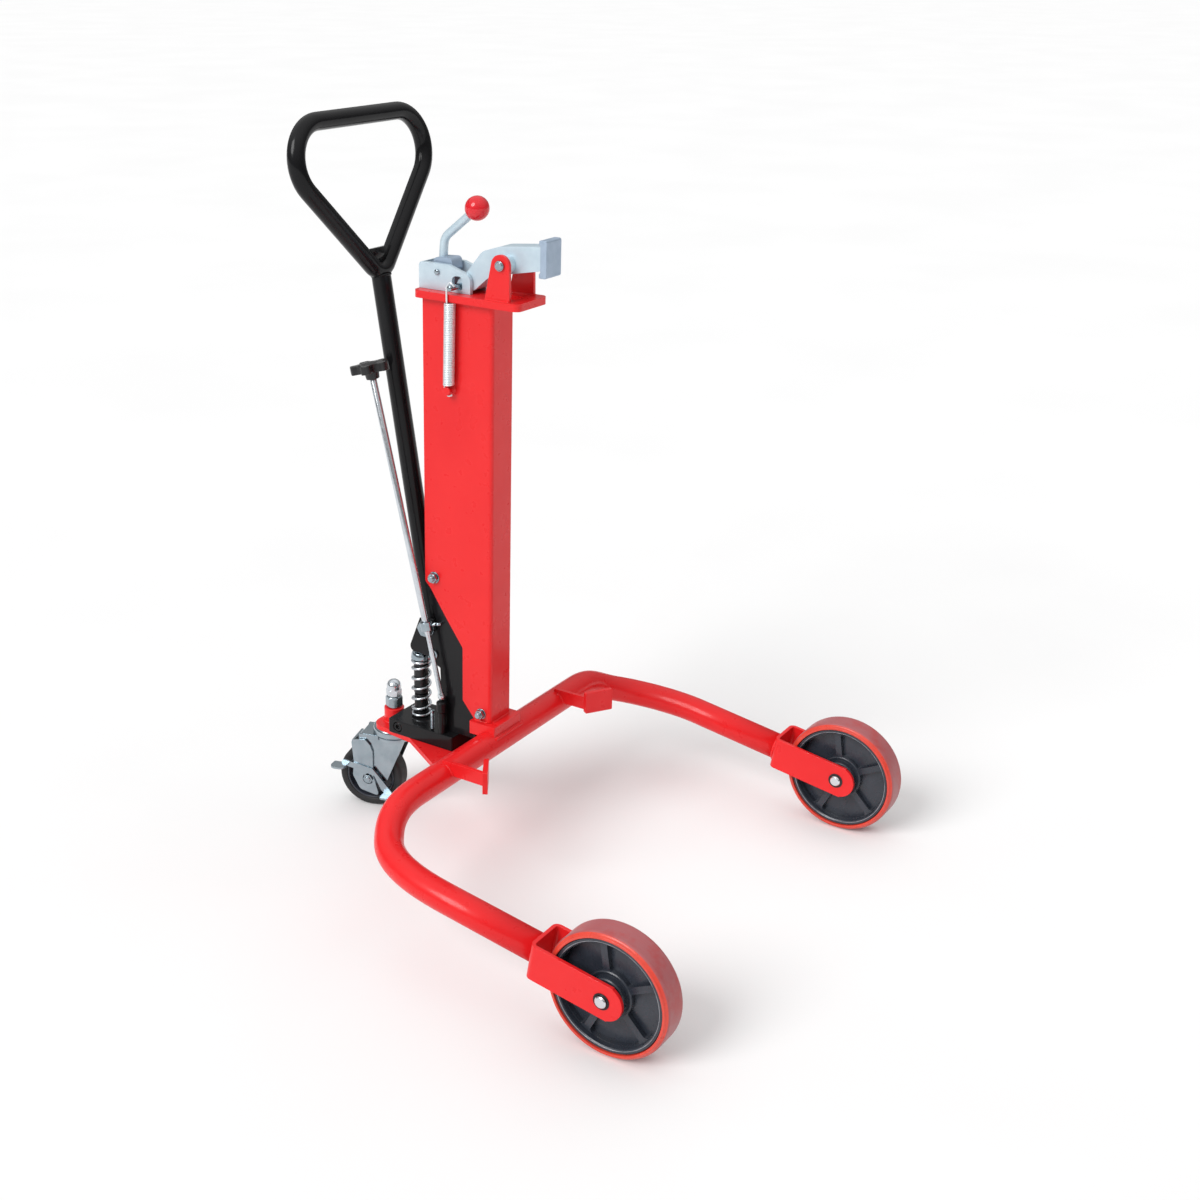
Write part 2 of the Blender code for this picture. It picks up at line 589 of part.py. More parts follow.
for s in (-1, 1):
    nut = hexagon(0.0240, (s * (0.0165 + GAP), *bolt_at), (s * 0.0265, *bolt_at))
    socket_bolt = join(socket_bolt, nut)
finish(socket_bolt, "socket_bolt", "zinc", (0, *bolt_at))
pin = join(rod(0.0050, (-outer_x - 0.004, PIVOT.y, PIVOT.z), (outer_x + 0.004, PIVOT.y, PIVOT.z), 20),
           *[rod(0.0080, (s * (outer_x + GAP), *PIVOT.yz), (s * (outer_x + 0.0030), *PIVOT.yz), 20)
             for s in (-1, 1)])
finish(pin, "pivot_pin", "zinc", PIVOT)
roller = turned([(0.0115, 0.0080), (0.0125, 0.0070), (0.0125, -0.0070), (0.0115, -0.0080),
                 (0.0043, -0.0080), (0.0043, 0.0080)], ROLLER, X, 32, closed=True)
finish(roller, "pump_roller", "zinc", ROLLER)
roller_pin = rod(0.0040, (-0.0163, ROLLER.y, ROLLER.z), (0.0163, ROLLER.y, ROLLER.z), 20)
finish(roller_pin, "roller_pin", "zinc", ROLLER)

plane = [HANDLE_TOP + axis * h + X * w for h, w in
         ((-0.0220, 0.0), (GRIP_H, GRIP_CORNER_X), (GRIP_H, -GRIP_CORNER_X))]
grip_path = bent(plane, [0.024, GRIP_R, GRIP_R], 6, cyclic=True)
grip = tube(grip_path, 0.0130, 4, cyclic=True)
gusset = extruded([(-0.0270, 0.0210), (0.0270, 0.0210), (0.0050, -0.0050), (-0.0050, -0.0050)],
                  -0.0065, 0.0065, "XY")
gusset.data.transform(Matrix.Translation(HANDLE_TOP) @ Matrix(((1, 0, 0, 0), (0, axis.y, -axis.z, 0),
                                                              (0, axis.z, axis.y, 0), (0, 0, 0, 1))))
grip = join(grip, gusset)
cope = tube(grip_path, 0.0130 + GAP, 4, cyclic=True)
shaft = rod(0.0145, socket_top + axis * GAP, HANDLE_TOP - axis * 0.0150, 24)
shaft = cut(shaft, cope, rod(0.0122, socket_top - axis * 0.01, HANDLE_TOP - axis * 0.06, 12))
finish(shaft, "handle_tube", "black", PIVOT)
finish(grip, "d_grip", "black", PIVOT)

# ---------------------------------------------------------------- lifting head
mast = rounded([(-0.0229, 0.1120), (-0.0229, 0.0045), (0.0229, 0.0045), (0.0229, 0.1120), (0.0199, 0.1120),
                (0.0199, 0.0075), (-0.0199, 0.0075), (-0.0199, 0.1120)], [0, 0.004, 0.004, 0, 0, 0.001, 0.001, 0], 2)
finish(extruded(mast, 0.4500, PLATE_Z0 - GAP, "XY"), "inner_mast", "red", (0, 0, PLATE_Z0))

plate = rounded([(-PLATE_X, PLATE_Y0), (PLATE_X, PLATE_Y0), (PLATE_X, PLATE_Y1), (-PLATE_X, PLATE_Y1)],
                0.010)
slot = rounded([(-0.012, -0.028), (0.012, -0.028), (0.012, 0.012), (-0.012, 0.012)], 0.006, 3)
plate = bevelled(extruded(plate, PLATE_Z0, PLATE_Z1, "XY", holes=[slot]), 0.0030, 2, 60)
lug = hull([(LUG_PIN.y, LUG_PIN.z, 0.0150), (-0.0320, PLATE_Z1 - 0.002, 0), (0.0100, PLATE_Z1 - 0.002, 0)])
for s in (-1, 1):
    side = extruded(lug, s * 0.0305 - 0.0025, s * 0.0305 + 0.0025, "YZ",
                    holes=[arc(LUG_PIN.yz, 0.0063, 0, 337.5, 15)])
    plate = join(plate, side)
finish(plate, "head_plate", "red", (0, 0, PLATE_Z0))
pin = turned([(0, 0.0375), (0.0052, 0.0375), (0.0060, 0.0365), (0.0060, -0.0365), (0.0052, -0.0375),
              (0, -0.0375)], LUG_PIN, X, 24)
finish(pin, "lug_pin", "zinc", LUG_PIN)

back_arm = [(-0.0719, 0.9455), (-0.0030, 0.9385), (0.0267, 0.9288), (0.0500, 0.9000)]
tail = arc(TAIL_PIN.yz, 0.0085, 25, -125, 6)
belly = [(0.0400, 0.8720), (0.0120, 0.8960), (-0.0250, 0.9030), (-0.0719, 0.9120)]
beak = extruded(back_arm + tail + belly, -0.0150, 0.0150, "YZ")
beak = join(bevelled(beak, 0.0020, 1), rod(0.0140, (-0.0270, *LUG_PIN.yz), (0.0270, *LUG_PIN.yz), 24))
beak = cut(beak, rod(0.0063, (-0.04, *LUG_PIN.yz), (0.04, *LUG_PIN.yz), 24),
           rod(0.0043, (-0.04, *TAIL_PIN.yz), (0.04, *TAIL_PIN.yz), 20))
finish(beak, "beak_arm", "pale", LUG_PIN)
jaw = extruded([(-0.0825, 0.9025), (-0.0825, 0.9545), (-0.0700, 0.9545), (-0.0700, 0.9490), (-0.0722, 0.9460),
                (-0.0722, 0.9110), (-0.0700, 0.9080), (-0.0700, 0.9025)], -0.0190, 0.0190, "YZ")
jaw = bevelled(jaw, 0.0015, 1)
finish(jaw, "jaw_plate", "pale", LUG_PIN)

low = PLATE_Z1 + GAP
guide_side = rounded([(0.0416, low), (0.1310, low), (0.1310, 0.9050), (0.0800, 0.9050), (0.0416, 0.8930)],
                     [0, 0, 0.006, 0.01, 0.012])
opening = rounded([(0.0545, 0.8715), (0.0725, 0.8715), (0.0735, 0.8905), (0.0560, 0.8905)],
                  [0.004, 0.005, 0.007, 0.005])
guide = extruded(guide_side, -0.0225, 0.0225, "YZ", holes=[opening])
guide = cut(guide, box(-0.0160, 0.0160, 0.0300, 0.1240, 0.8600, 0.9200),
            rod(0.0043, (-0.04, *LEVER_PIVOT.yz), (0.04, *LEVER_PIVOT.yz), 20))
finish(guide, "guide_block", "pale", (0, 0.09, low))
pin = turned([(0, 0.0270), (0.0040, 0.0270), (0.0040, -0.0440), (0.0032, -0.0450), (0, -0.0450)],
             TAIL_PIN, X, 20)
finish(pin, "tail_pin", "zinc", TAIL_PIN)

slab = extruded(rounded([(0.0790, 0.8975), (0.0900, 0.8820), (0.1110, 0.8820), (0.1130, 0.9110),
                         (0.0810, 0.9130)],
                        [0.004, 0.004, 0.004, 0.005, 0.005]), -0.0125, 0.0125, "YZ",
                holes=[arc(LEVER_PIVOT.yz, 0.0043, 0, 337.5, 15)])
stem = tube(bent([Vector((0, 0.1040, 0.9080)), Vector((0, 0.1020, 0.9380)), Vector((0, 0.0560, 0.9755))],
                 0.022, 6), 0.0062, 3)
finish(join(slab, stem), "clamp_lever", "pale", LEVER_PIVOT)
finish(rod(0.0040, (-0.0260, *LEVER_PIVOT.yz), (0.0260, *LEVER_PIVOT.yz), 20), "lever_pin", "zinc", LEVER_PIVOT)
ball_c = Vector((0, 0.0455, 0.9845))
ball = turned([(0.0175 * math.sin(math.radians(a)), 0.0175 * math.cos(math.radians(a)))
               for a in range(0, 181, 20)], ball_c, (ball_c - Vector((0, 0.0560, 0.9755))), 18)
ball = cut(ball, rod(0.0062 + GAP, (0, 0.0650, 0.96825), (0, 0.05520, 0.97612), 24))
finish(ball, "ball_knob", "red", LEVER_PIVOT)

# return spring between the tail pin and the stud on the column
spring_x = -0.0370
body = rod(0.0085, (spring_x, 0.0690, 0.7355), (spring_x, 0.0665, 0.8550), 24)
up = tube(bent([Vector((spring_x - 0.004, y, z)) for y, z in
                ((0.0665, 0.8480), (0.0690, 0.8580), (0.0692, 0.8780), (0.0630, 0.8855), (0.0555, 0.8800))],
               0.003, 3), 0.0014, 2)
down = tube(bent([Vector((spring_x + 0.001, y, z)) for y, z in
                  ((0.0690, 0.7430), (0.0762, 0.7370), (0.0775, 0.7240), (0.0700, 0.7190), (0.0635, 0.7215))],
                 0.003, 3), 0.0014, 2)
finish(join(body, up, down), "return_spring", "zinc", (spring_x, 0.0690, 0.7270))

# ---------------------------------------------------------------- caster
trail = Vector((math.cos(CASTER_ANGLE), math.sin(CASTER_ANGLE), 0))
axle_dir = Vector((-trail.y, trail.x, 0))
hub_c = CASTER + trail * CASTER_TRAIL + Z * CASTER_R
swing = Matrix(((trail.x, axle_dir.x, 0, CASTER.x), (trail.y, axle_dir.y, 0, CASTER.y),
                (0, 0, 1, 0), (0, 0, 0, 1)))


def swung(ob):
    """Caster coordinates (x along the trail, y along the axle) to truck coordinates."""
    ob.data.transform(swing)
    return ob


top = 0.1447
race = turned([(0.0100, top), (0.0330, top), (0.0345, top - 0.0050), (0.0345, top - 0.0110),
               (0.0300, top - 0.0135), (0.0080 + GAP, top - 0.0135), (0.0080 + GAP, top)],
              (0, CASTER.y, 0), Z, 24, closed=True)
finish(race, "caster_top_race", "zinc", (0, CASTER.y, top))
kingpin = turned([(0, 0.2130), (0.0080, 0.2130), (0.0080, 0.1190), (0.0110, 0.1190), (0.0110, 0.1130),
                  (0, 0.1130)], (0, CASTER.y, 0), Z, 24)
finish(kingpin, "kingpin", "zinc", (0, CASTER.y, top))
nut = cut(hexagon(0.0240, (0, CASTER.y, 0.1768), (0, CASTER.y, 0.1960)),
          rod(0.0083, (0, CASTER.y, 0.17), (0, CASTER.y, 0.2), 24))
finish(nut, "stem_nut", "zinc", (0, CASTER.y, 0.1768))
dome = [(0.0110 * math.cos(math.radians(a)), 0.2130 + 0.0108 * math.sin(math.radians(a)))
        for a in range(90, -1, -15)]
dome = turned(dome + [(0.0120, 0.2080), (0.0120, 0.1963), (0, 0.1963)], (0, CASTER.y, 0), Z, 24)
dome = cut(dome, rod(0.0083, (0, CASTER.y, 0.19), (0, CASTER.y, 0.2133), 24))
finish(dome, "dome_nut", "chrome", (0, CASTER.y, 0.1963))

fork_top, leg_y = 0.1308, 0.0220
hub_x = CASTER_TRAIL
crown = rod(0.0310, (0, 0, fork_top - 0.0040), (0, 0, fork_top), 24)
wing = extruded(rounded([(-0.026, -leg_y), (0.050, -leg_y), (0.050, leg_y), (-0.026, leg_y)], 0.004),
                fork_top - 0.0040, fork_top, "XY")
crown = join(crown, wing)
for s in (-1, 1):
    leg_plate = extruded(hull([(hub_x, CASTER_R, 0.0125), (0.0085, 0.0560, 0.004), (-0.0250, fork_top - 0.004, 0),
                               (-0.0250, fork_top, 0), (0.0530, fork_top - 0.004, 0), (0.0530, fork_top, 0)]),
                         -0.0015, 0.0015, "XZ")
    leg_plate.data.transform(Matrix.Translation((0, s * leg_y, 0)))
    crown = join(crown, leg_plate)
crown = cut(crown, rod(0.0113, (0, 0, 0.1), (0, 0, 0.2), 24),
            rod(0.0052, (hub_x, -0.05, CASTER_R), (hub_x, 0.05, CASTER_R), 20))
finish(swung(crown), "caster_fork", "zinc", (0, CASTER.y, fork_top))
bolt = rod(0.0049, (hub_x, -0.0320, CASTER_R), (hub_x, 0.0320, CASTER_R), 20)
for s in (-1, 1):
    bolt = join(bolt, hexagon(0.0140, (hub_x, s * 0.0238, CASTER_R), (hub_x, s * 0.0300, CASTER_R)))
finish(swung(bolt), "caster_axle", "zinc", hub_c)

tyre = [(0.0405, 0.0165), (0.0480, 0.0165)]
tyre += [(CASTER_R - 0.0045 + a, 0.0120 + b) for a, b in arc((0, 0), 0.0045, 80, 0, 2)]
tyre += [(r, -z) for r, z in reversed(tyre)]
finish(swung(turned(tyre, (hub_x, 0, CASTER_R), Y, 32, closed=True)), "caster_tyre", "rubber", hub_c)
wheel = [(0.0402, 0.0160), (0.0402, -0.0160), (0.0370, -0.0160), (0.0350, -0.0060), (0.0160, -0.0060),
         (0.0140, -0.0175), (0.0053, -0.0175)]
wheel += [(r, -z) for r, z in reversed(wheel[2:])]
finish(swung(turned(wheel, (hub_x, 0, CASTER_R), Y, 32, closed=True)), "caster_core", "core", hub_c)

# brake: a plate on the -X side that reaches over the tyre, and a pedal bar with a tab at each end
inside, outside = 0.0245, 0.0275
plate = rounded([(0.0285, 0.1023), (0.0330, 0.1142), (0.0406, 0.1227), (0.0650, 0.1200), (0.0610, 0.0789),
                 (0.0634, 0.0567), (0.0512, 0.0331), (0.0179, 0.0243), (0.0285, 0.0604)],
                [0.004, 0.005, 0.006, 0.006, 0.006, 0.010, 0.010, 0.004, 0.006])
rocker = extruded(plate, inside, outside, "XZ")
bar = rounded([(0.0800, 0.0830), (0.0546, 0.0790), (0.0280, 0.0730), (0.0060, 0.0480), (-0.0060, 0.0330),
               (0.0020, 0.0260), (0.0140, 0.0380), (0.0250, 0.0612), (0.0500, 0.0680), (0.0820, 0.0740)], 0.003)
rocker = join(rocker, extruded(bar, outside - 0.0005, outside + 0.0025, "XZ"))
tab_a = rounded([(0.0690, 0.0280), (0.0940, 0.0280), (0.0960, 0.0500), (0.0720, 0.0500)],
                [0, 0.003, 0.009, 0.009])
tab_b = rounded([(-0.0070, 0.0280), (0.0120, 0.0280), (0.0120, 0.0480), (-0.0070, 0.0480)],
                [0, 0, 0.006, 0.006])
tab_a = extruded(tab_a, 0.0745, 0.0775, "XY")
tab_b = extruded(tab_b, 0.0300, 0.0330, "XY")
over = box(0.0610, 0.0645, -0.0180, inside + 0.0010, 0.1085, 0.1185)
rocker = cut(join(rocker, tab_a, tab_b, over),
             rod(0.0095, (hub_x, 0.02, CASTER_R), (hub_x, 0.06, CASTER_R), 24))
finish(swung(rocker), "brake_pedal", "zinc", hub_c)

for ob in list(tools.objects):
    bpy.data.objects.remove(ob, do_unlink=True)
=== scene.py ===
"""Looks for the hydraulic drum truck: every CAD node gets a finely modelled piece and a procedural finish.

Places are in truck coordinates: x across, y towards the caster with 0 on the cross tube's axis, and z up.
show() moves each finished piece from there into the frame.
"""
import json
import math

import bmesh
import bpy
from mathutils import Matrix, Vector


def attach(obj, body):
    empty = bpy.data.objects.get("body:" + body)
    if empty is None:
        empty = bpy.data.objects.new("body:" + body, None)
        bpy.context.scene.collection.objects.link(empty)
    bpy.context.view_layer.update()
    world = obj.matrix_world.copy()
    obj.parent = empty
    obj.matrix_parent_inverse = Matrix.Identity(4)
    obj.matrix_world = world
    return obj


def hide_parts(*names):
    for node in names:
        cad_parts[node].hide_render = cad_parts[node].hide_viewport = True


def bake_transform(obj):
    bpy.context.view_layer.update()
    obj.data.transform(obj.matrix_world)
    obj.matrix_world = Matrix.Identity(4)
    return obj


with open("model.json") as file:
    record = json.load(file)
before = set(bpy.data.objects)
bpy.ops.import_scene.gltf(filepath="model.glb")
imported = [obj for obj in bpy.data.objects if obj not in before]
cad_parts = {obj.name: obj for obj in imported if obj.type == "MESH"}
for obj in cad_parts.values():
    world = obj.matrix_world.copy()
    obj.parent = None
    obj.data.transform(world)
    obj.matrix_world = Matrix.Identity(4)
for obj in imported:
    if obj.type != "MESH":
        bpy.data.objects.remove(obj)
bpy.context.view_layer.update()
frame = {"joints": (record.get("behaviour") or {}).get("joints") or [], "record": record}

# ---- places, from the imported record
JOINT = {j["name"]: Vector(j["pos_m"]) for j in frame["joints"] if "pos_m" in j}
BODY = {node: body for body, nodes in frame["record"]["behaviour"]["bodies"].items() for node in nodes}
SLOT = {part["node"]: part["material_slot"] for part in frame["record"]["subparts"]}

CASTER = Vector((0, 0.2066, 0.0))
CROSS_Y = JOINT["caster_swivel"].y - CASTER.y  # from truck coordinates to the frame's
GAP = 0.0003  # left between pieces that touch
X, Y, Z = Vector((1, 0, 0)), Vector((0, 1, 0)), Vector((0, 0, 1))
SIDES = (-1, 1)
scene = bpy.context.scene

# ---- driving sizes in metres: _R is a radius, _T a thickness, and _X, _Y, _Z a place or half a width
TUBE_R, LEG_X, LEG_SLOPE, CROSS_Z = 0.021, 0.355, 0.1536, 0.1804
AXLE_Y, AXLE_Z, LEG_Z_AT_AXLE, LEG_END_Y = -0.42, 0.09, 0.087, -0.304
WHEEL_X, WHEEL_R, WHEEL_W, CORE_R, AXLE_R = 0.358, 0.09, 0.045, 0.0815, 0.0085
DRUM_Y = -0.328  # middle of the drum that the truck carries
COL_X, COL_Y, COL_T, COL_Z0, COL_Z1 = 0.0275, 0.1215, 0.004, 0.213, 0.8556
UPPER_BOLT, LOWER_BOLT, BOLT_HOLE_R = (0.1036, 0.4298), (0.017, 0.2262), 0.0053
FOOT_TOP = 0.2127
PLATE_Z0, PLATE_Z1 = 0.856, 0.8668
LUG_PIN = Vector((0, -0.016, 0.916))
TAIL_PIN = Vector((0, 0.0623, 0.8768))
LEVER_PIVOT = Vector((0, 0.098, 0.893))
PIVOT, ROLLER, ROLLER_R = Vector((0, 0.109, 0.3)), Vector((0, 0.1515, 0.3)), 0.0125
HANDLE_LOW, HANDLE_TOP = Vector((0, 0.1202, 0.305)), Vector((0, 0.2205, 0.89))
BLOCK_X, BLOCK_Y0, BLOCK_Y1, BLOCK_Z0, BLOCK_Z1 = 0.041, 0.063, 0.187, 0.1532, 0.177
RAM_Y, RAM_R = 0.081, 0.017
VALVE, ROD_TOP = Vector((-0.034, 0.087, 0.2366)), Vector((-0.0502, 0.1961, 0.728))
CASTER_R, CASTER_TRAIL, CASTER_ANGLE = 0.0533, 0.037, math.radians(107)
SPRING_X, SPRING_WIRE = -0.037, 0.00125


# ---- finishes
class Nodes:
    """Node tree of a material, with textures laid out in metres on the object, or of the world."""

    def __init__(self, owner, space="Object"):
        owner.use_nodes = True
        self.owner = owner
        self.tree = owner.node_tree
        self.at = self.add("ShaderNodeTexCoord").outputs[space]

    def give(self, socket, value):
        if isinstance(value, bpy.types.NodeSocket):
            self.tree.links.new(value, socket)
        else:
            socket.default_value = value

    def add(self, kind, inputs=None, **settings):
        node = self.tree.nodes.new(kind)
        for key, value in settings.items():
            setattr(node, key, value)
        for key, value in (inputs or {}).items():
            self.give(node.inputs[key], value)
        return node

    def noise(self, scale, detail=3.0, rough=0.5, stretch=None):
        at = self.at
        if stretch:
            at = self.add("ShaderNodeMapping", {"Scale": stretch, "Vector": at}).outputs["Vector"]
        inputs = {"Scale": scale, "Detail": detail, "Roughness": rough, "Vector": at}
        return self.add("ShaderNodeTexNoise", inputs).outputs["Fac"]

    def spots(self, scale):
        return self.add("ShaderNodeTexVoronoi", {"Scale": scale, "Vector": self.at}).outputs["Distance"]

    def ramp(self, fac, *stops):
        """Each stop is a place from 0 to 1 with a colour or a grey."""
        node = self.add("ShaderNodeValToRGB", {"Fac": fac})
        elements = node.color_ramp.elements
        while len(elements) < len(stops):
            elements.new(0.5)
        for element, (where, colour) in zip(elements, stops):
            element.position = where
            element.color = (*colour, 1.0) if isinstance(colour, tuple) else (colour, colour, colour, 1.0)
        return node.outputs["Color"]

    def spread(self, fac, low, high, start=0.3, end=0.7):
        inputs = {"From Min": start, "From Max": end, "To Min": low, "To Max": high, "Value": fac}
        return self.add("ShaderNodeMapRange", inputs).outputs["Result"]

    def mix(self, fac, a, b, mode="MIX"):
        inputs = {"Factor": fac, "A": a, "B": b}
        return self.add("ShaderNodeMix", inputs, data_type="RGBA", blend_type=mode).outputs["Result"]

    def bump(self, height, strength, distance, under=None):
        inputs = {"Strength": strength, "Distance": distance, "Height": height}
        if under:
            inputs["Normal"] = under
        return self.add("ShaderNodeBump", inputs).outputs["Normal"]

    def into(self, **sockets):
        """Set up the material's shader and return the material."""
        shader = self.tree.nodes["Principled BSDF"]
        for key, value in sockets.items():
            self.give(shader.inputs[key.replace("_", " ")], value)
        return self.owner


def material(name):
    return Nodes(bpy.data.materials.new(name))


def gloss_paint(name, base, deep, roughness, coat, specular):
    """Powder coat: faint orange peel, slow drift of tone, a few dust specks."""
    n = material(name)
    tone = n.ramp(n.noise(9.0, 4.0), (0.3, deep), (0.62, base))
    specks = n.ramp(n.spots(420.0), (0.02, 0.94), (0.07, 1.0))
    peel = n.bump(n.noise(650.0, 2.0), 0.04, 0.0003)
    ripple = n.bump(n.noise(90.0, 2.0), 0.02, 0.0006, peel)
    return n.into(Base_Color=n.mix(1.0, tone, specks, "MULTIPLY"),
                  Roughness=n.spread(n.noise(60.0, 4.0), roughness * 0.85, roughness * 1.25),
                  Normal=ripple, Coat_Weight=coat, Coat_Roughness=0.08, Specular_IOR_Level=specular)


def plated(name, base, deep, roughness, metallic=1.0, grain=(1, 1, 1), grain_depth=0.05):
    """Zinc or nickel plating: cloudy tone, fine scratches, uneven gloss."""
    n = material(name)
    cloud = n.ramp(n.noise(45.0, 6.0, 0.6), (0.28, deep), (0.66, base))
    fine = n.noise(900.0, 3.0, 0.6, grain)
    return n.into(Base_Color=cloud, Metallic=metallic,
                  Roughness=n.spread(n.noise(140.0, 5.0, 0.65, grain), roughness * 0.75, roughness * 1.35),
                  Normal=n.bump(fine, grain_depth, 0.0003))


def moulded(name, base, deep, roughness, texture, depth):
    """Moulded plastic, rubber or cast polyurethane with a fine grain and soft marks."""
    n = material(name)
    tone = n.ramp(n.noise(28.0, 5.0, 0.55), (0.32, deep), (0.64, base))
    dust = n.ramp(n.noise(260.0, 4.0, 0.7), (0.4, 1.0), (0.78, 0.86))
    return n.into(Base_Color=n.mix(1.0, tone, dust, "MULTIPLY"),
                  Roughness=n.spread(n.noise(75.0, 5.0), roughness * 0.88, roughness * 1.2),
                  Normal=n.bump(n.noise(texture, 3.0, 0.6), depth, 0.0004))


def rolling_tread(name, base, wear_and_highlight, roughness):
    """Polyurethane tread: scuffs run round the tread, with dust gathered in them."""
    n = material(name)
    scuff = n.noise(60.0, 6.0, 0.7, (6.0, 0.7, 0.7))
    patches = n.ramp(n.noise(24.0, 4.0, 0.6), (0.36, base), (0.52, wear_and_highlight))
    tone = n.mix(0.35, patches, n.ramp(scuff, (0.35, base), (0.72, wear_and_highlight)))
    fleck = n.ramp(n.spots(190.0), (0.03, 0.72), (0.1, 1.0))
    return n.into(Base_Color=n.mix(1.0, tone, fleck, "MULTIPLY"),
                  Roughness=n.spread(scuff, roughness * 0.85, roughness * 1.2),
                  Normal=n.bump(n.noise(380.0, 5.0, 0.7), 0.22, 0.0005))


RED, RED_DEEP = (0.78, 0.016, 0.018), (0.74, 0.012, 0.015)
LOOK = {
    "red_paint": gloss_paint("red_gloss", RED, RED_DEEP, 0.3, 0.16, 0.26),
    "black_paint": gloss_paint("black_gloss", (0.01, 0.01, 0.011), (0.006, 0.006, 0.007), 0.2, 0.14, 0.14),
    "zinc": plated("zinc_plate", (0.38, 0.44, 0.48), (0.29, 0.35, 0.39), 0.19, grain_depth=0.02),
    "clamp_plating": plated("clamp_nickel", (0.58, 0.7, 0.77), (0.5, 0.62, 0.7), 0.4, 0.3, grain_depth=0.1),
    "bright_chrome": plated("bright_chrome", (0.72, 0.75, 0.78), (0.64, 0.67, 0.7), 0.14),
    "ground_steel": plated("ground_steel", (0.42, 0.42, 0.41), (0.3, 0.3, 0.3), 0.32,
                           grain=(0.2, 0.2, 4.0), grain_depth=0.12),
    "wheel_tread": rolling_tread("tread_polyurethane", (0.44, 0.05, 0.05), (0.4, 0.125, 0.135), 0.4),
    "wheel_core": moulded("core_paint", (0.036, 0.042, 0.056), (0.022, 0.027, 0.038), 0.27, 900.0, 0.1),
    "caster_rubber": moulded("tyre_rubber", (0.014, 0.014, 0.015), (0.009, 0.009, 0.01), 0.55, 1100.0, 0.2),
    "knob_plastic": moulded("knob_plastic", (0.014, 0.014, 0.015), (0.008, 0.008, 0.009), 0.3, 1500.0, 0.1),
    "red_ball": moulded("ball_phenolic", (0.76, 0.018, 0.03), (0.64, 0.01, 0.018), 0.16, 700.0, 0.03),
}
SIDE_RING = moulded("tread_side", (0.75, 0.062, 0.036), (0.64, 0.05, 0.032), 0.3, 800.0, 0.08)
# Dark steel for the plunger sleeve. The same material forms the dark rings round the axle pins, which are
# painted shade.
DARK_STEEL_AND_SHADE = plated("dark_steel_and_shade", (0.06, 0.06, 0.062), (0.03, 0.03, 0.032), 0.42)
# Pale metal for thin rings on the wheel core's rim edges: a painted highlight of those edges.
PAINTED_EDGE_HIGHLIGHT = plated("painted_edge_highlight", (0.42, 0.44, 0.47), (0.1, 0.11, 0.13), 0.4, 0.6)
BRIGHT_WIRE = plated("bright_wire", (0.84, 0.88, 0.9), (0.76, 0.8, 0.83), 0.34, 0.6, grain_depth=0.01)
ROD_STEEL = plated("rod_steel", (0.66, 0.7, 0.74), (0.56, 0.6, 0.64), 0.22, 0.95, grain_depth=0.01)
JAW_STEEL = plated("jaw_steel", (0.4, 0.49, 0.61), (0.33, 0.42, 0.53), 0.44, 0.3, grain_depth=0.08)


# ---- outlines and paths
def on_circle(radius, k, steps):
    """The k-th of even steps round a circle."""
    return radius * math.cos(math.tau * k / steps), radius * math.sin(math.tau * k / steps)


def on_arc(centre, radius, degrees):
    angle = math.radians(degrees)
    return centre[0] + radius * math.cos(angle), centre[1] + radius * math.sin(angle)


def arc(centre, radius, start, end, steps):
    return [on_arc(centre, radius, start + (end - start) * k / steps) for k in range(steps + 1)]


def circle(centre, radius, steps=32):
    return arc(centre, radius, 0, 360 - 360 / steps, steps - 1)


def rectangle(a0, a1, b0, b1):
    return [(a0, b0), (a1, b0), (a1, b1), (a0, b1)]


def rounded(corners, radius, steps=7):
    """Closed 2D outline with every corner rounded; radius is one number or one per corner."""
    out, count = [], len(corners)
    for k, corner in enumerate(corners):
        r = radius[k] if isinstance(radius, (list, tuple)) else radius
        p, a, b = Vector(corner), Vector(corners[k - 1]), Vector(corners[(k + 1) % count])
        u, v = (a - p).normalized(), (b - p).normalized()
        half = u.angle(v) / 2
        if r <= 0 or abs(half - math.pi / 2) < 1e-3:
            out.append(tuple(p))
            continue
        centre = p + (u + v).normalized() * (r / math.sin(half))
        start, end = p + u * (r / math.tan(half)) - centre, p + v * (r / math.tan(half)) - centre
        turn = start.angle_signed(end)
        for s in range(steps + 1):
            a0 = -turn * s / steps
            out.append((centre.x + start.x * math.cos(a0) - start.y * math.sin(a0),
                        centre.y + start.x * math.sin(a0) + start.y * math.cos(a0)))
    return out


def hull(circles, steps=64):
    """Convex outline around circles given as (a, b, radius)."""
    found = set()
    for a, b, r in circles:
        for k in range(steps if r > 0 else 1):
            across, up = on_circle(r, k, steps)
            found.add((round(a + across, 7), round(b + up, 7)))

    def half(points):
        chain = []
        for p in points:
            while len(chain) > 1 and ((chain[-1][0] - chain[-2][0]) * (p[1] - chain[-2][1])
                                      - (chain[-1][1] - chain[-2][1]) * (p[0] - chain[-2][0])) <= 1e-12:
                chain.pop()
            chain.append(p)
        return chain[:-1]

    ordered = sorted(found)
    return half(ordered) + half(ordered[::-1])


def both_halves(half):
    """Closed (r, z) profile from its upper half."""
    return half + [(r, -z) for r, z in reversed(half)]


def channel(half_x, front, depth, wall, outer_r, inner_r, steps):
    """Outline of a three-sided channel, open at the rear."""
    inner_x = half_x - wall
    corners = [(-half_x, depth), (-half_x, front), (half_x, front), (half_x, depth),
               (inner_x, depth), (inner_x, front + wall), (-inner_x, front + wall), (-inner_x, depth)]
    return rounded(corners, [0, outer_r, outer_r, 0, 0, inner_r, inner_r, 0], steps)


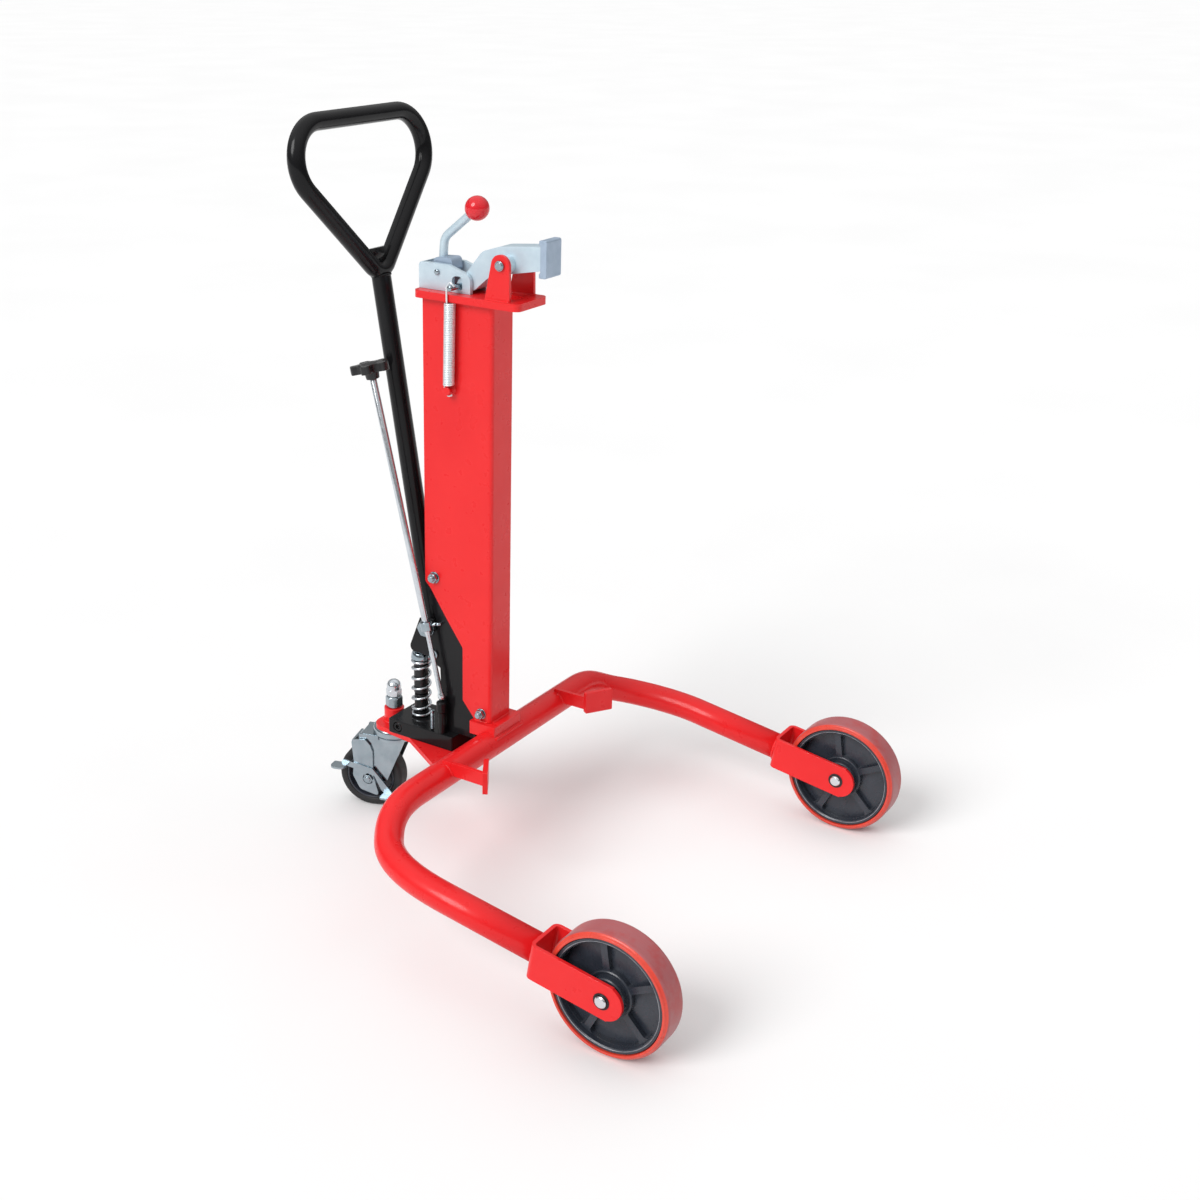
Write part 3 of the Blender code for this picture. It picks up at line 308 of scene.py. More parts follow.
def bent(points, radius, steps=12, cyclic=False):
    """A path through straight runs with an arc of the given radius at each corner."""
    points = [Vector(p) for p in points]
    out, last = [], len(points) - 1
    for k, p in enumerate(points):
        if not cyclic and k in (0, last):
            out.append(p)
            continue
        r = radius[k] if isinstance(radius, (list, tuple)) else radius
        a, b = points[k - 1], points[(k + 1) % len(points)]
        u, v = (a - p).normalized(), (b - p).normalized()
        half = u.angle(v) / 2
        centre = p + (u + v).normalized() * (r / math.sin(half))
        start, end = p + u * (r / math.tan(half)), p + v * (r / math.tan(half))
        sweep_angle = (start - centre).angle(end - centre)
        for s in range(steps + 1):
            w = s / steps
            out.append(centre + ((start - centre) * math.sin((1 - w) * sweep_angle)
                                 + (end - centre) * math.sin(w * sweep_angle)) / math.sin(sweep_angle))
    return out


def cubic(p0, p1, p2, p3, steps):
    return [p0 * (1 - t) ** 3 + p1 * 3 * t * (1 - t) ** 2 + p2 * 3 * t * t * (1 - t) + p3 * t ** 3
            for t in (k / steps for k in range(steps + 1))]


def along(axis):
    return Vector(axis).normalized().to_track_quat("Z", "Y").to_matrix().to_4x4()


def ring_at(centre, axis, radius, steps=48):
    turn = along(axis)
    return [Vector(centre) + (turn @ Vector((*on_circle(radius, k, steps), 0.0))) for k in range(steps)]


def leg_z(y):
    return LEG_Z_AT_AXLE + LEG_SLOPE * (y - AXLE_Y)


def tube_reach(offset):
    """How far the frame tube reaches from its axis, at this offset from it."""
    return (TUBE_R ** 2 - offset ** 2) ** 0.5


# ---- mesh helpers
def piece(bm):
    mesh = bpy.data.meshes.new("mesh")
    bmesh.ops.recalc_face_normals(bm, faces=bm.faces)
    bm.to_mesh(mesh)
    bm.free()
    ob = bpy.data.objects.new("mesh", mesh)
    scene.collection.objects.link(ob)
    return ob


def baked(ob):
    bpy.context.view_layer.update()
    mesh = bpy.data.meshes.new_from_object(ob.evaluated_get(bpy.context.evaluated_depsgraph_get()))
    bm = bmesh.new()
    bm.from_mesh(mesh)
    bmesh.ops.transform(bm, matrix=ob.matrix_world, verts=bm.verts)
    bmesh.ops.remove_doubles(bm, verts=bm.verts, dist=2e-6)
    bpy.data.objects.remove(ob, do_unlink=True)
    return piece(bm)


def boolean(ob, other, operation="DIFFERENCE"):
    mod = ob.modifiers.new("cut", "BOOLEAN")
    mod.operation, mod.solver, mod.object = operation, "EXACT", other
    new = baked(ob)
    bpy.data.objects.remove(other, do_unlink=True)
    return new


def cut(ob, *others):
    for other in others:
        ob = boolean(ob, other)
    return ob


def moved(ob, matrix):
    ob.data.transform(matrix)
    return ob


def box(x0, x1, y0, y1, z0, z1):
    bm = bmesh.new()
    bmesh.ops.create_cube(bm, size=1.0)
    bmesh.ops.scale(bm, vec=(x1 - x0, y1 - y0, z1 - z0), verts=bm.verts)
    bmesh.ops.translate(bm, vec=((x0 + x1) / 2, (y0 + y1) / 2, (z0 + z1) / 2), verts=bm.verts)
    return piece(bm)


def turned(profile, origin=(0, 0, 0), axis=Z, steps=64, closed=False):
    """Revolve an (r, z) profile about the given axis."""
    bm = bmesh.new()
    rings = []
    for r, z in profile:
        count = 1 if r < 1e-7 else steps
        rings.append([bm.verts.new((*on_circle(r, k, steps), z)) for k in range(count)])
    order = list(zip(rings, rings[1:])) + ([(rings[-1], rings[0])] if closed else [])
    for a, b in order:
        for k in range(steps):
            quad = []
            for v in (a[k % len(a)], a[(k + 1) % len(a)], b[(k + 1) % len(b)], b[k % len(b)]):
                if v not in quad:
                    quad.append(v)
            if len(quad) > 2:
                bm.faces.new(quad)
    bmesh.ops.transform(bm, matrix=Matrix.Translation(origin) @ along(axis), verts=bm.verts)
    return piece(bm)


def upright(profile, y, steps=48, closed=False):
    """Revolve an (r, z) profile about the upright line at (0, y)."""
    return turned(profile, (0, y, 0), Z, steps, closed)


def rod(radius, start, end, steps=40, chamfer=0.0):
    start, end = Vector(start), Vector(end)
    depth = (end - start).length
    profile = [(0, 0), (radius - chamfer, 0)]
    if chamfer:
        profile += [(radius, chamfer), (radius, depth - chamfer)]
    return turned(profile + [(radius - chamfer, depth), (0, depth)], start, end - start, steps)


def crossbar(radius, at, reach, steps=40, chamfer=0.0):
    """Rod across the truck through (y, z), reaching as far on both sides."""
    return rod(radius, (-reach, *at), (reach, *at), steps, chamfer)


def hexagon(flats, start, end):
    """Hexagon head or nut with its corners turned off at both faces."""
    start, end = Vector(start), Vector(end)
    depth, r = (end - start).length, flats / math.sqrt(3)
    body = turned([(0, 0), (r, 0), (r, depth), (0, depth)], (0, 0, 0), Z, 6)
    flat, wide = flats * 0.47, r * 1.01
    lens = turned([(0, 0), (flat, 0), (wide, depth * 0.16), (wide, depth * 0.84), (flat, depth), (0, depth)],
                  (0, 0, 0), Z, 48)
    return moved(boolean(body, lens, "INTERSECT"), Matrix.Translation(start) @ along(end - start))


# What turns an outline from the XY plane into each plane, and that plane's normal.
TURN = {"XY": Matrix.Identity(4), "YZ": Matrix(((0, 0, 1, 0), (1, 0, 0, 0), (0, 1, 0, 0), (0, 0, 0, 1))),
        "XZ": Matrix(((1, 0, 0, 0), (0, 0, -1, 0), (0, 1, 0, 0), (0, 0, 0, 1)))}
NORMAL = {"XY": Z, "YZ": X, "XZ": Y}


def extruded(outline, low, high, plane="YZ", holes=()):
    """Flat outline with holes, given thickness between low and high across its plane."""
    if holes:
        curve = bpy.data.curves.new("outline", "CURVE")
        curve.dimensions, curve.fill_mode, curve.extrude = "2D", "BOTH", (high - low) / 2
        for points in (outline, *holes):
            spline = curve.splines.new("POLY")
            spline.points.add(len(points) - 1)
            for target, (a, b) in zip(spline.points, points):
                target.co = (a, b, 0.0, 1.0)
            spline.use_cyclic_u = True
        ob = bpy.data.objects.new("outline", curve)
        scene.collection.objects.link(ob)
        ob = baked(ob)
    else:
        bm = bmesh.new()
        lower = [bm.verts.new((a, b, (low - high) / 2)) for a, b in outline]
        upper = [bm.verts.new((a, b, (high - low) / 2)) for a, b in outline]
        bm.faces.new(lower)
        bm.faces.new(upper)
        for k in range(len(outline)):
            bm.faces.new((lower[k - 1], lower[k], upper[k], upper[k - 1]))
        ob = piece(bm)
    return moved(ob, Matrix.Translation(NORMAL[plane] * ((low + high) / 2)) @ TURN[plane])


def sweep(points, radius, sides=28, cyclic=False):
    """Tube along a path; radius is a number or a function of the share of the way along it."""
    points = [Vector(p) for p in points]
    count, bm, rings = len(points), bmesh.new(), []
    size = radius if callable(radius) else (lambda share: radius)
    normal = None
    for k, p in enumerate(points):
        after = points[(k + 1) % count] if cyclic or k < count - 1 else p
        before = points[k - 1] if cyclic or k > 0 else p
        tangent = (after - before).normalized()
        normal = tangent.orthogonal() if normal is None else normal - tangent * normal.dot(tangent)
        normal.normalize()
        side, r = tangent.cross(normal), size(k / (count - 1))
        ring = []
        for s in range(sides):
            a, b = on_circle(1.0, s, sides)
            ring.append(bm.verts.new(p + (normal * a + side * b) * r))
        rings.append(ring)
    for k in range(count if cyclic else count - 1):
        a, b = rings[k], rings[(k + 1) % count]
        shift = 0
        if cyclic and k == count - 1:
            shift = min(range(sides), key=lambda s: (a[0].co - b[s].co).length)
        for s in range(sides):
            bm.faces.new((a[s], a[(s + 1) % sides], b[(s + 1 + shift) % sides], b[(s + shift) % sides]))
    if not cyclic:
        bm.faces.new(rings[0])
        bm.faces.new(rings[-1])
    return piece(bm)


def bead(points, radius, cyclic=False):
    """Weld bead: a thin roll with overlapping ripples."""
    pitch = 0.003
    points = [Vector(p) for p in points]
    total = sum((b - a).length for a, b in zip(points, points[1:] + points[:1] if cyclic else points[1:]))
    fine = []
    ends = points + points[:1] if cyclic else points
    for a, b in zip(ends, ends[1:]):
        parts = max(1, round((b - a).length / (pitch / 6)))
        fine += [a.lerp(b, s / parts) for s in range(parts)]
    if not cyclic:
        fine.append(ends[-1])
    ripples = max(1, round(total / pitch))

    def swell(share):
        return radius * (0.9 + 0.16 * abs(math.sin(math.pi * ripples * share)))

    return sweep(fine, swell, 10, cyclic)


def merged(*obs):
    """One mesh of several shells, each keeping its material."""
    bm, mats = bmesh.new(), []
    for ob in obs:
        mat = ob.data.materials[0] if ob.data.materials else None
        if mat not in mats:
            mats.append(mat)
        before = len(bm.faces)
        bm.from_mesh(ob.data)
        bm.faces.ensure_lookup_table()
        for face in bm.faces[before:]:
            face.material_index = mats.index(mat)
        bpy.data.objects.remove(ob, do_unlink=True)
    new = piece(bm)
    for mat in mats:
        new.data.materials.append(mat)
    return new


def in_finish(ob, mat):
    ob.data.materials.clear()
    ob.data.materials.append(mat)
    return ob


def show(ob, node, bevel=0.0006, segments=None, angle=38, rides=True):
    """Place the piece in the frame, with soft edges and its finish, to stand for its CAD node."""
    ob.name = ob.data.name = node + "_look"
    moved(ob, Matrix.Translation((0.0, CROSS_Y, 0.0)))
    if not ob.data.materials:
        ob.data.materials.append(LOOK[SLOT[node]])
    for k, mat in enumerate(ob.data.materials):
        if mat is None:
            ob.data.materials[k] = LOOK[SLOT[node]]
    ob.data.shade_smooth()
    if bevel:
        mod = ob.modifiers.new("edges", "BEVEL")
        mod.width, mod.limit_method = bevel, "ANGLE"
        mod.segments = segments or (2 if bevel < 0.0008 else 3 if bevel < 0.002 else 4)
        mod.angle_limit, mod.use_clamp_overlap = math.radians(angle), True
        even = ob.modifiers.new("even", "WEIGHTED_NORMAL")
        even.weight, even.keep_sharp = 80, False
    if rides:
        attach(ob, BODY[node])
    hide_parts(node)


def pair(ob, node, **options):
    """Show the right-hand piece, and its mirror image on the left."""
    other = ob.copy()
    other.data = ob.data.copy()
    scene.collection.objects.link(other)
    other.data.transform(Matrix.Scale(-1, 4, X))
    other.data.flip_normals()
    show(ob, node + "_right", **options)
    show(other, node + "_left", **options)


# ---- U-frame: one tube, bent twice
leg = Vector((0, 1, LEG_SLOPE))
heading = Vector((-math.cos(0.66), math.sin(0.66), 0.3))  # of the tube, half way round its bend
leg_top = Vector((LEG_X, -0.158, leg_z(-0.158)))
mid_bend = Vector((0.312, -0.024, 0.15))
cross_end = Vector((0.215, 0.0, CROSS_Z))
right = [Vector((LEG_X, LEG_END_Y, leg_z(LEG_END_Y)))]
right += cubic(leg_top, leg_top + leg * 0.046, mid_bend - heading * 0.04, mid_bend, 24)
right += cubic(mid_bend, mid_bend + heading * 0.04, cross_end + X * 0.05, cross_end, 24)[1:]
run = right + [Vector((-p.x, p.y, p.z)) for p in reversed(right)]
seams = []
for s in SIDES:
    ring = ring_at((s * LEG_X, LEG_END_Y - 0.001, leg_z(LEG_END_Y)), leg, TUBE_R - 0.0002)
    seams.append(bead(ring, 0.0026, True))
show(merged(sweep(run, TUBE_R, 56), *seams), "u_frame_tube", bevel=0)

# ---- fork brackets and front axles
hub = Vector((WHEEL_X, AXLE_Y, AXLE_Z))
STRAP_X, STRAP_T, STRAP_BACK, STRAP_H = 0.0323, 0.0055, 0.1145, 0.026


def strap_plan(half_x, front, depth, corner):
    corners = [(half_x, front), (half_x, depth), (-half_x, depth), (-half_x, front)]
    return extruded(rounded(corners, [0, corner, corner, 0], 10), front, -front, "XY")


side = [(STRAP_BACK, -STRAP_H), (STRAP_BACK, STRAP_H), (-0.012, STRAP_H)]
side += arc((-0.004, 0.0), STRAP_H, 108, 252, 28) + [(-0.012, -STRAP_H)]
strap = boolean(strap_plan(STRAP_X, -0.04, STRAP_BACK, 0.01), extruded(side, -0.05, 0.05), "INTERSECT")
strap = cut(strap, strap_plan(STRAP_X - STRAP_T, -0.06, STRAP_BACK - STRAP_T, 0.0045),
            crossbar(AXLE_R + GAP, (0, 0), 0.05, 48))
tilt = Matrix.Rotation(math.atan(LEG_SLOPE), 4, "X")
pair(moved(strap, Matrix.Translation(hub) @ tilt), "fork_bracket", bevel=0.0012)

end = STRAP_X + 0.0045
axle = turned([(0, end), (AXLE_R - 0.0016, end), (AXLE_R, end - 0.0014), (AXLE_R, 0.002 - end),
               (AXLE_R - 0.0016, -end), (0, -end)], hub, X, 48)
# Thin dark rings round each axle pin on the bracket faces: painted shade of the gap between pin and hole.
shade_rings = []
for s in SIDES:
    inner, outer = s * STRAP_X, s * (STRAP_X + 0.001)
    shade_ring = turned([(0.0118, outer), (0.0118, inner), (0.0086, inner), (0.0086, outer)], hub, X, 48, True)
    shade_rings.append(in_finish(shade_ring, DARK_STEEL_AND_SHADE))
pair(merged(axle, *shade_rings), "axle_pin", bevel=0.0004)

# ---- front wheels: tread
half_w = WHEEL_W / 2
SIDE_RING_R = 0.0886  # the moulded ring on the tread's sides ends here
profile = [(CORE_R + 0.0002, half_w - 0.0006), (0.0825, half_w), (0.0852, half_w), (0.0857, half_w - 0.001)]
profile += [(WHEEL_R - 0.006 + a, half_w - 0.008 + b) for a, b in arc((0, 0), 0.006, 62, 0, 10)]
tread = turned(both_halves(profile), hub, X, 144, True)
tread.data.materials.append(LOOK["wheel_tread"])
tread.data.materials.append(SIDE_RING)
for face in tread.data.polygons:
    from_hub = math.hypot(face.center.y - hub.y, face.center.z - hub.z)
    face.material_index = 1 if from_hub < SIDE_RING_R else 0
pair(tread, "front_tread", bevel=0.0005, angle=30)


# ---- front wheels: cast core and bearing
def wheel_ring(half, steps=72):
    return turned(both_halves(half), (0, 0, 0), X, steps, True)


def spider():
    """Disc with five pockets, which leave a rib of even width between them."""
    ribs, half_rib, outer, inner = 5, 0.005, 0.073, 0.0335
    half_turn = 180 / ribs
    far, near = (half_turn - math.degrees(math.asin(half_rib / r)) for r in (outer, inner))
    pockets = []
    for k in range(ribs):
        mid = 81 + half_turn * (2 * k + 1)
        outline = arc((0, 0), outer, mid - far, mid + far, 14)
        outline += arc((0, 0), inner, mid + near, mid - near, 6)
        pockets.append(rounded(outline, [0.0052] + [0] * 13 + [0.0052, 0.0036] + [0] * 5 + [0.0036], 6))
    return extruded(circle((0, 0), 0.0742, 96), -0.0124, 0.0124, "YZ", pockets)


rim = wheel_ring([(CORE_R, half_w - 0.004), (CORE_R - 0.0012, half_w - 0.0025), (0.0762, half_w - 0.0025),
                  (0.0748, half_w - 0.0036), (0.0734, 0.0128)], 120)
web = wheel_ring([(0.074, 0.004), (0.025, 0.0048)], 96)
boss = wheel_ring([(0.0125, 0.0215), (0.0245, 0.0215), (0.026, 0.02), (0.0266, 0.013)])
collar = wheel_ring([(0.025, 0.0116), (0.0312, 0.0136), (0.033, 0.012)])
core = merged(rim, web, boss, collar, spider())
# Thin pale metal rings on the rims' inner edges: a painted highlight.
wear_and_highlight = []
for s in SIDES:
    low, high = s * 0.0196, s * 0.0203
    edge = turned([(0.076, low), (0.0766, high), (0.0774, high), (0.0774, low)], (0, 0, 0), X, 120, True)
    wear_and_highlight.append(in_finish(edge, PAINTED_EDGE_HIGHLIGHT))
pair(moved(merged(core, *wear_and_highlight), Matrix.Translation(hub)), "front_core", bevel=0.0009)
bearing = [(0.0122, 0.0235), (0.0122, -0.0235), (0.0087, -0.0235), (0.0087, 0.0235)]
pair(turned(bearing, hub, X, 48, True), "front_bearing", bevel=0.0005)

# ---- drum stops
stop_at = Vector((0.156, -0.0804, 0.2034))
facing = Vector((0, DRUM_Y, stop_at.z)) - stop_at
pad = extruded(rounded(rectangle(-0.0235, 0.0235, -0.0175, 0.0175), 0.0022), -0.0038, 0.0038, "XZ")
pad = moved(pad, Matrix.Translation(stop_at)
            @ Matrix.Rotation(math.atan2(facing.y, facing.x) + math.pi / 2, 4, "Z"))
arm = box(0.1485, 0.1545, -0.079, -0.002, 0.185, 0.206)
heights = [0.185 + 0.0024 * k for k in range(7)]
seams = []
for x in (0.1482, 0.1548):
    seams.append(bead([(x, -tube_reach(z - CROSS_Z) - 0.0004, z) for z in heights], 0.0018))
pair(merged(pad, arm, *seams), "drum_stop", bevel=0.001)

# ---- column, its foot and the spring's stud
tube_cut = (TUBE_R + 0.0001, (0, CROSS_Z))
foot = extruded(rounded(rectangle(-0.036, 0.036, -0.013, 0.034), 0.002), CROSS_Z + 0.012, FOOT_TOP, "XY")
foot = cut(foot, crossbar(*tube_cut, 0.06, 96))
seam_y = 0.002 - tube_reach(0.012)
foot_seam = bead([(x, seam_y, CROSS_Z + 0.0135) for x in (-0.036, 0.036)], 0.0024)
show(merged(foot, foot_seam), "column_foot", bevel=0.001)

cut_away = [(0.031, 0.15), (0.031, COL_Z0 + 0.001), (0.0521, 0.2393), (0.0522, 0.3262), (0.0837, 0.3696),
            (0.1115, 0.4105), (0.124, 0.423), (0.17, 0.423), (0.17, 0.15)]
cut_away = rounded(cut_away, [0, 0, 0.004, 0.006, 0.01, 0.01, 0.004, 0, 0])
column = cut(extruded(channel(COL_X, 0, COL_Y, COL_T, 0.006, 0.002, 10), COL_Z0, COL_Z1, "XY"),
             extruded(cut_away, -0.05, 0.05), crossbar(BOLT_HOLE_R, UPPER_BOLT, 0.05),
             crossbar(BOLT_HOLE_R, LOWER_BOLT, 0.05))
seams = [bead([(x, 0.006, COL_Z0), (x, 0.029, COL_Z0)], 0.0018) for x in (-COL_X - 0.0004, COL_X + 0.0004)]
seams.append(bead([(-0.022, -0.0004, COL_Z0), (0.022, -0.0004, COL_Z0)], 0.0018))
show(merged(column, *seams), "column", bevel=0.0008)

stud = [(0, 0.0135), (0.0056, 0.0135), (0.0064, 0.0127), (0.0062, 0.0115), (0.0038, 0.0112),
        (0.0038, 0.0034), (0.006, 0.003), (0.008, 0.0012), (0.0084, 0), (0, 0)]
show(turned(stud, (-COL_X - 0.0001, 0.0706, 0.727), -X, 40), "spring_stud", bevel=0.0004)

# ---- rear base plate and caster boss
left = [(-0.118, 0.014), (-0.088, 0.067), (-0.04, 0.146), (-0.03, 0.229)]
outline = left + [(-x, y) for x, y in reversed(left)]
outline = rounded(outline, [0, 0.01, 0.01, 0.02, 0.02, 0.01, 0.01, 0], 10)
rear = extruded(outline, 0.145, 0.153, "XY", [circle((0, CASTER.y), 0.012)])
rear = cut(rear, crossbar(*tube_cut, 0.15, 96))
boss = upright([(0.0152, 0.1765), (0.016, 0.1757), (0.016, 0.1455), (0.0083, 0.1455), (0.0083, 0.1765)],
               CASTER.y, 64, True)
boss = cut(boss, box(-0.05, 0.05, 0.1, BLOCK_Y1 + GAP, 0.1, 0.2))
seams = [bead([(-0.1, 0.0145, 0.154), (0.1, 0.0145, 0.154)], 0.0026),
         bead([(*on_arc(CASTER, 0.0168, a), 0.1536) for a in range(-60, 241, 12)], 0.002)]
show(merged(rear, boss, *seams), "rear_base_plate", bevel=0.001)

# ---- pump block, its plug and the cheeks
plug_at = (BLOCK_Y1 - 0.018, BLOCK_Z0 + 0.0125)
block = extruded(rounded(rectangle(-BLOCK_X, BLOCK_X, BLOCK_Y0, BLOCK_Y1), 0.0028), BLOCK_Z0, BLOCK_Z1, "XY")
block = cut(block, rod(0.0083, (-BLOCK_X - 0.01, *plug_at), (-BLOCK_X + 0.008, *plug_at), 48))
show(block, "pump_block", bevel=0.0013)
plug = [(0, 0.0035), (0.0034, 0.0035), (0.0038, 0.0072), (0.0066, 0.0074), (0.008, 0.006), (0.008, 0),
        (0, 0)]
show(turned(plug, (-BLOCK_X + 0.0077, *plug_at), -X, 48), "block_plug", bevel=0.0004)

CHEEK_X = COL_X - COL_T - GAP  # outer face of a cheek
outline = [(0.012, 0.2135), (0.0345, 0.2135), (0.0345, BLOCK_Z1 + GAP), (0.0925, BLOCK_Z1 + GAP),
           (0.096, 0.245), (0.0975, 0.28)] + arc(PIVOT.yz, 0.012, -60, 40, 16)
outline += [(0.101, 0.348), (0.1143, 0.388), (0.119, 0.415), (0.119, 0.442), (0.09, 0.442), (0.012, 0.3)]
holes = [circle(at, BOLT_HOLE_R) for at in (UPPER_BOLT, LOWER_BOLT, PIVOT.yz)]
pair(extruded(outline, CHEEK_X - 0.004, CHEEK_X, "YZ", holes), "pump_cheek")


# ---- column bolts
def through_bolt(node, at, head):
    """Bolt across the column: flat ring and hexagon at each end, threads past the nut."""
    ends, shells = COL_X + 0.0018, []
    for s in SIDES:
        shells += [rod(head * 0.66, (s * (COL_X + 0.0001), *at), (s * ends, *at), 48, 0.0004),
                   hexagon(head, (s * ends, *at), (s * (ends + 0.0063), *at))]
    thread = [(0, -COL_X - 0.012), (0.0042, -COL_X - 0.012), (0.005, -COL_X - 0.0112)]
    for k in range(4):
        z = -COL_X - 0.0105 + 0.001 * k
        thread += [(0.005, z), (0.0044, z + 0.0005)]
    thread += [(0.005, -COL_X), (0.005, COL_X + 0.009), (0, COL_X + 0.009)]
    show(merged(turned(thread, (0, *at), X, 32), *shells), node, bevel=0.0003)


through_bolt("column_bolt_upper", UPPER_BOLT, 0.014)
through_bolt("column_bolt_lower", LOWER_BOLT, 0.013)

# ---- lifting ram and pump barrel
ram = [(0.0103, 0.56), (0.015, 0.56), (RAM_R, 0.558), (RAM_R, 0.538), (0.0162, 0.537),
       (0.0162, 0.5345), (RAM_R, 0.5335), (RAM_R, BLOCK_Z1 + 0.009), (0.0162, BLOCK_Z1 + 0.008),
       (0.0162, BLOCK_Z1), (0, BLOCK_Z1), (0, 0.4), (0.0103, 0.4)]
show(upright(ram, RAM_Y, 64), "ram_cylinder", bevel=0.0004)
show(rod(0.01, (0, RAM_Y, 0.402), (0, RAM_Y, PLATE_Z0), 48, 0.001), "ram_rod", bevel=0.0003)

barrel = [(0.0073, 0.2145), (0.0078, 0.215), (0.0103, 0.215), (0.011, 0.2142), (0.011, BLOCK_Z1),
          (0.0073, BLOCK_Z1)]
show(upright(barrel, ROLLER.y, 48, True), "pump_barrel", bevel=0.0003)

# ---- plunger under the roller, with its sleeve
cap = ROLLER.z - ROLLER_R - GAP
plunger = [(0, cap), (0.011, cap), (0.0136, cap - 0.001), (0.015, cap - 0.0035), (0.0158, cap - 0.0085),
           (0.016, cap - 0.0112), (0.015, cap - 0.012), (0.007, cap - 0.012), (0.007, 0.206), (0, 0.206)]
sleeve = [(0.0115, cap - 0.01), (0.0115, 0.2175), (0.0112, 0.2175), (0.0112, cap - 0.01)]
sleeve = in_finish(upright(sleeve, ROLLER.y, 48, True), DARK_STEEL_AND_SHADE)
show(merged(upright(plunger, ROLLER.y, 56), sleeve), "pump_plunger", bevel=0.0004)


# ---- pump spring
def coil(centre, radius, wire, z0, z1, turns, per_turn=28, sides=10, lean=Vector((0, 0, 0))):
    """Wire wound about an upright line, which lean moves at its top."""
    count = round(turns * per_turn)
    path = []
    for k in range(count + 1):
        a, b = on_circle(radius, k, per_turn)
        path.append(Vector((centre[0] + a, centre[1] + b, z0 + (z1 - z0) * k / count)) + lean * (k / count))
    return sweep(path, wire, sides)


low, high, end_turn = BLOCK_Z1 + 0.002, cap - 0.012 - 0.002, 0.004
stretches = ((low, low + end_turn, 1), (low + end_turn, high - end_turn, 5), (high - end_turn, high, 1))
spring = merged(*[coil((0, ROLLER.y), 0.0141, 0.0022, *stretch) for stretch in stretches])
show(in_finish(spring, ROD_STEEL), "pump_spring", bevel=0, rides=False)
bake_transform(bpy.data.objects["pump_spring_look"])

# ---- release valve and relief screw
knurl = [(0, 0.2312), (0.005, 0.2312), (0.0078, 0.2296), (0.0085, 0.228), (0.0085, 0.214),
         (0.0068, 0.212), (0.0068, 0.204), (0.0062, 0.202), (0.0062, BLOCK_Z1), (0, BLOCK_Z1)]
show(turned(knurl, (VALVE.x, VALVE.y, 0), Z, 48), "release_valve", bevel=0.0004)
screw_at = (-0.0345, 0.105)
screw = merged(rod(0.0024, (*screw_at, BLOCK_Z1), (*screw_at, BLOCK_Z1 + 0.0325), 24),
               coil(screw_at, 0.0027, 0.0007, BLOCK_Z1 + 0.002, BLOCK_Z1 + 0.03, 13, 18, 8),
               rod(0.0034, (*screw_at, BLOCK_Z1 + 0.03), (*screw_at, BLOCK_Z1 + 0.034), 28, 0.0006))
show(screw, "relief_screw", bevel=0)

# ---- release rod and the collar that guides it
lean = ROD_TOP - VALVE
length, unit = lean.length, lean.normalized()
release = [(0, length), (0.0044, length), (0.005, length - 0.0008), (0.005, 0.107), (0.004, 0.103),
           (0.004, 0.009), (0.0047, 0.0072), (0.0055, 0.004), (0.0056, 0.001), (0.0046, -0.002),
           (0.0024, -0.0034), (0, -0.0036)]
show(in_finish(turned(release, VALVE, lean, 40), ROD_STEEL), "release_rod", bevel=0)
collar_at = VALVE + lean * (0.118 / length)
collar = turned([(0.0084, 0.007), (0.009, 0.0064), (0.009, -0.0064), (0.0084, -0.007), (0.0056, -0.007),
                 (0.0056, 0.007)], collar_at, lean, 48, True)
held_at = (0.094, collar_at.z + 0.004)
bracket = bent([collar_at + Vector((0.005, -0.0045, 0.0)), collar_at + Vector((0.009, -0.012, 0.003)),
                (-CHEEK_X - 0.008, *held_at), (-CHEEK_X, *held_at)], 0.003, 8)
show(merged(collar, sweep(bracket, 0.0028, 20)), "rod_guide", bevel=0.0003)

# ---- release knob: five round lobes
star, lobes = [], 5
lobe_half = math.asin(0.007 / 0.029)
for k in range(lobes):
    mid = math.tau * k / lobes
    star += [(0.03 * math.cos(mid + d), 0.03 * math.sin(mid + d)) for d in (-lobe_half, 0, lobe_half)]
    star.append(on_circle(0.015, k + 0.5, lobes))
grip = extruded(rounded(star, [0.004, 0, 0.004, 0.008] * lobes, 6), 0.011, 0.024, "XY")
stem = upright([(0, 0.0), (0.0092, 0.0), (0.0098, 0.001), (0.011, 0.011), (0, 0.012)], 0)
crown = upright([(0.013, 0.0235), (0.0115, 0.0246), (0.006, 0.0254), (0, 0.0256)], 0)
knob = moved(merged(grip, stem, crown), Matrix.Translation(ROD_TOP + unit * GAP) @ along(unit)
             @ Matrix.Rotation(math.radians(14), 4, "Z"))
show(knob, "release_knob", bevel=0.0028)

# ---- pump handle: socket, bolts, roller and tube
axis = (HANDLE_TOP - HANDLE_LOW).normalized()
socket_top = HANDLE_LOW + axis * 0.048
bolt_at = (HANDLE_LOW + axis * 0.034).yz
outline = hull([(*PIVOT.yz, 0.0095), (*ROLLER.yz, 0.0095), (socket_top.y - 0.012, socket_top.z, 0.0025),
                (socket_top.y + 0.012, socket_top.z - 0.004, 0.0025)])
socket = cut(extruded(outline, -0.0165, 0.0165), box(-0.0085, 0.0085, 0.136, 0.18, 0.27, 0.315))
show(socket, "handle_socket", bevel=0.0022)

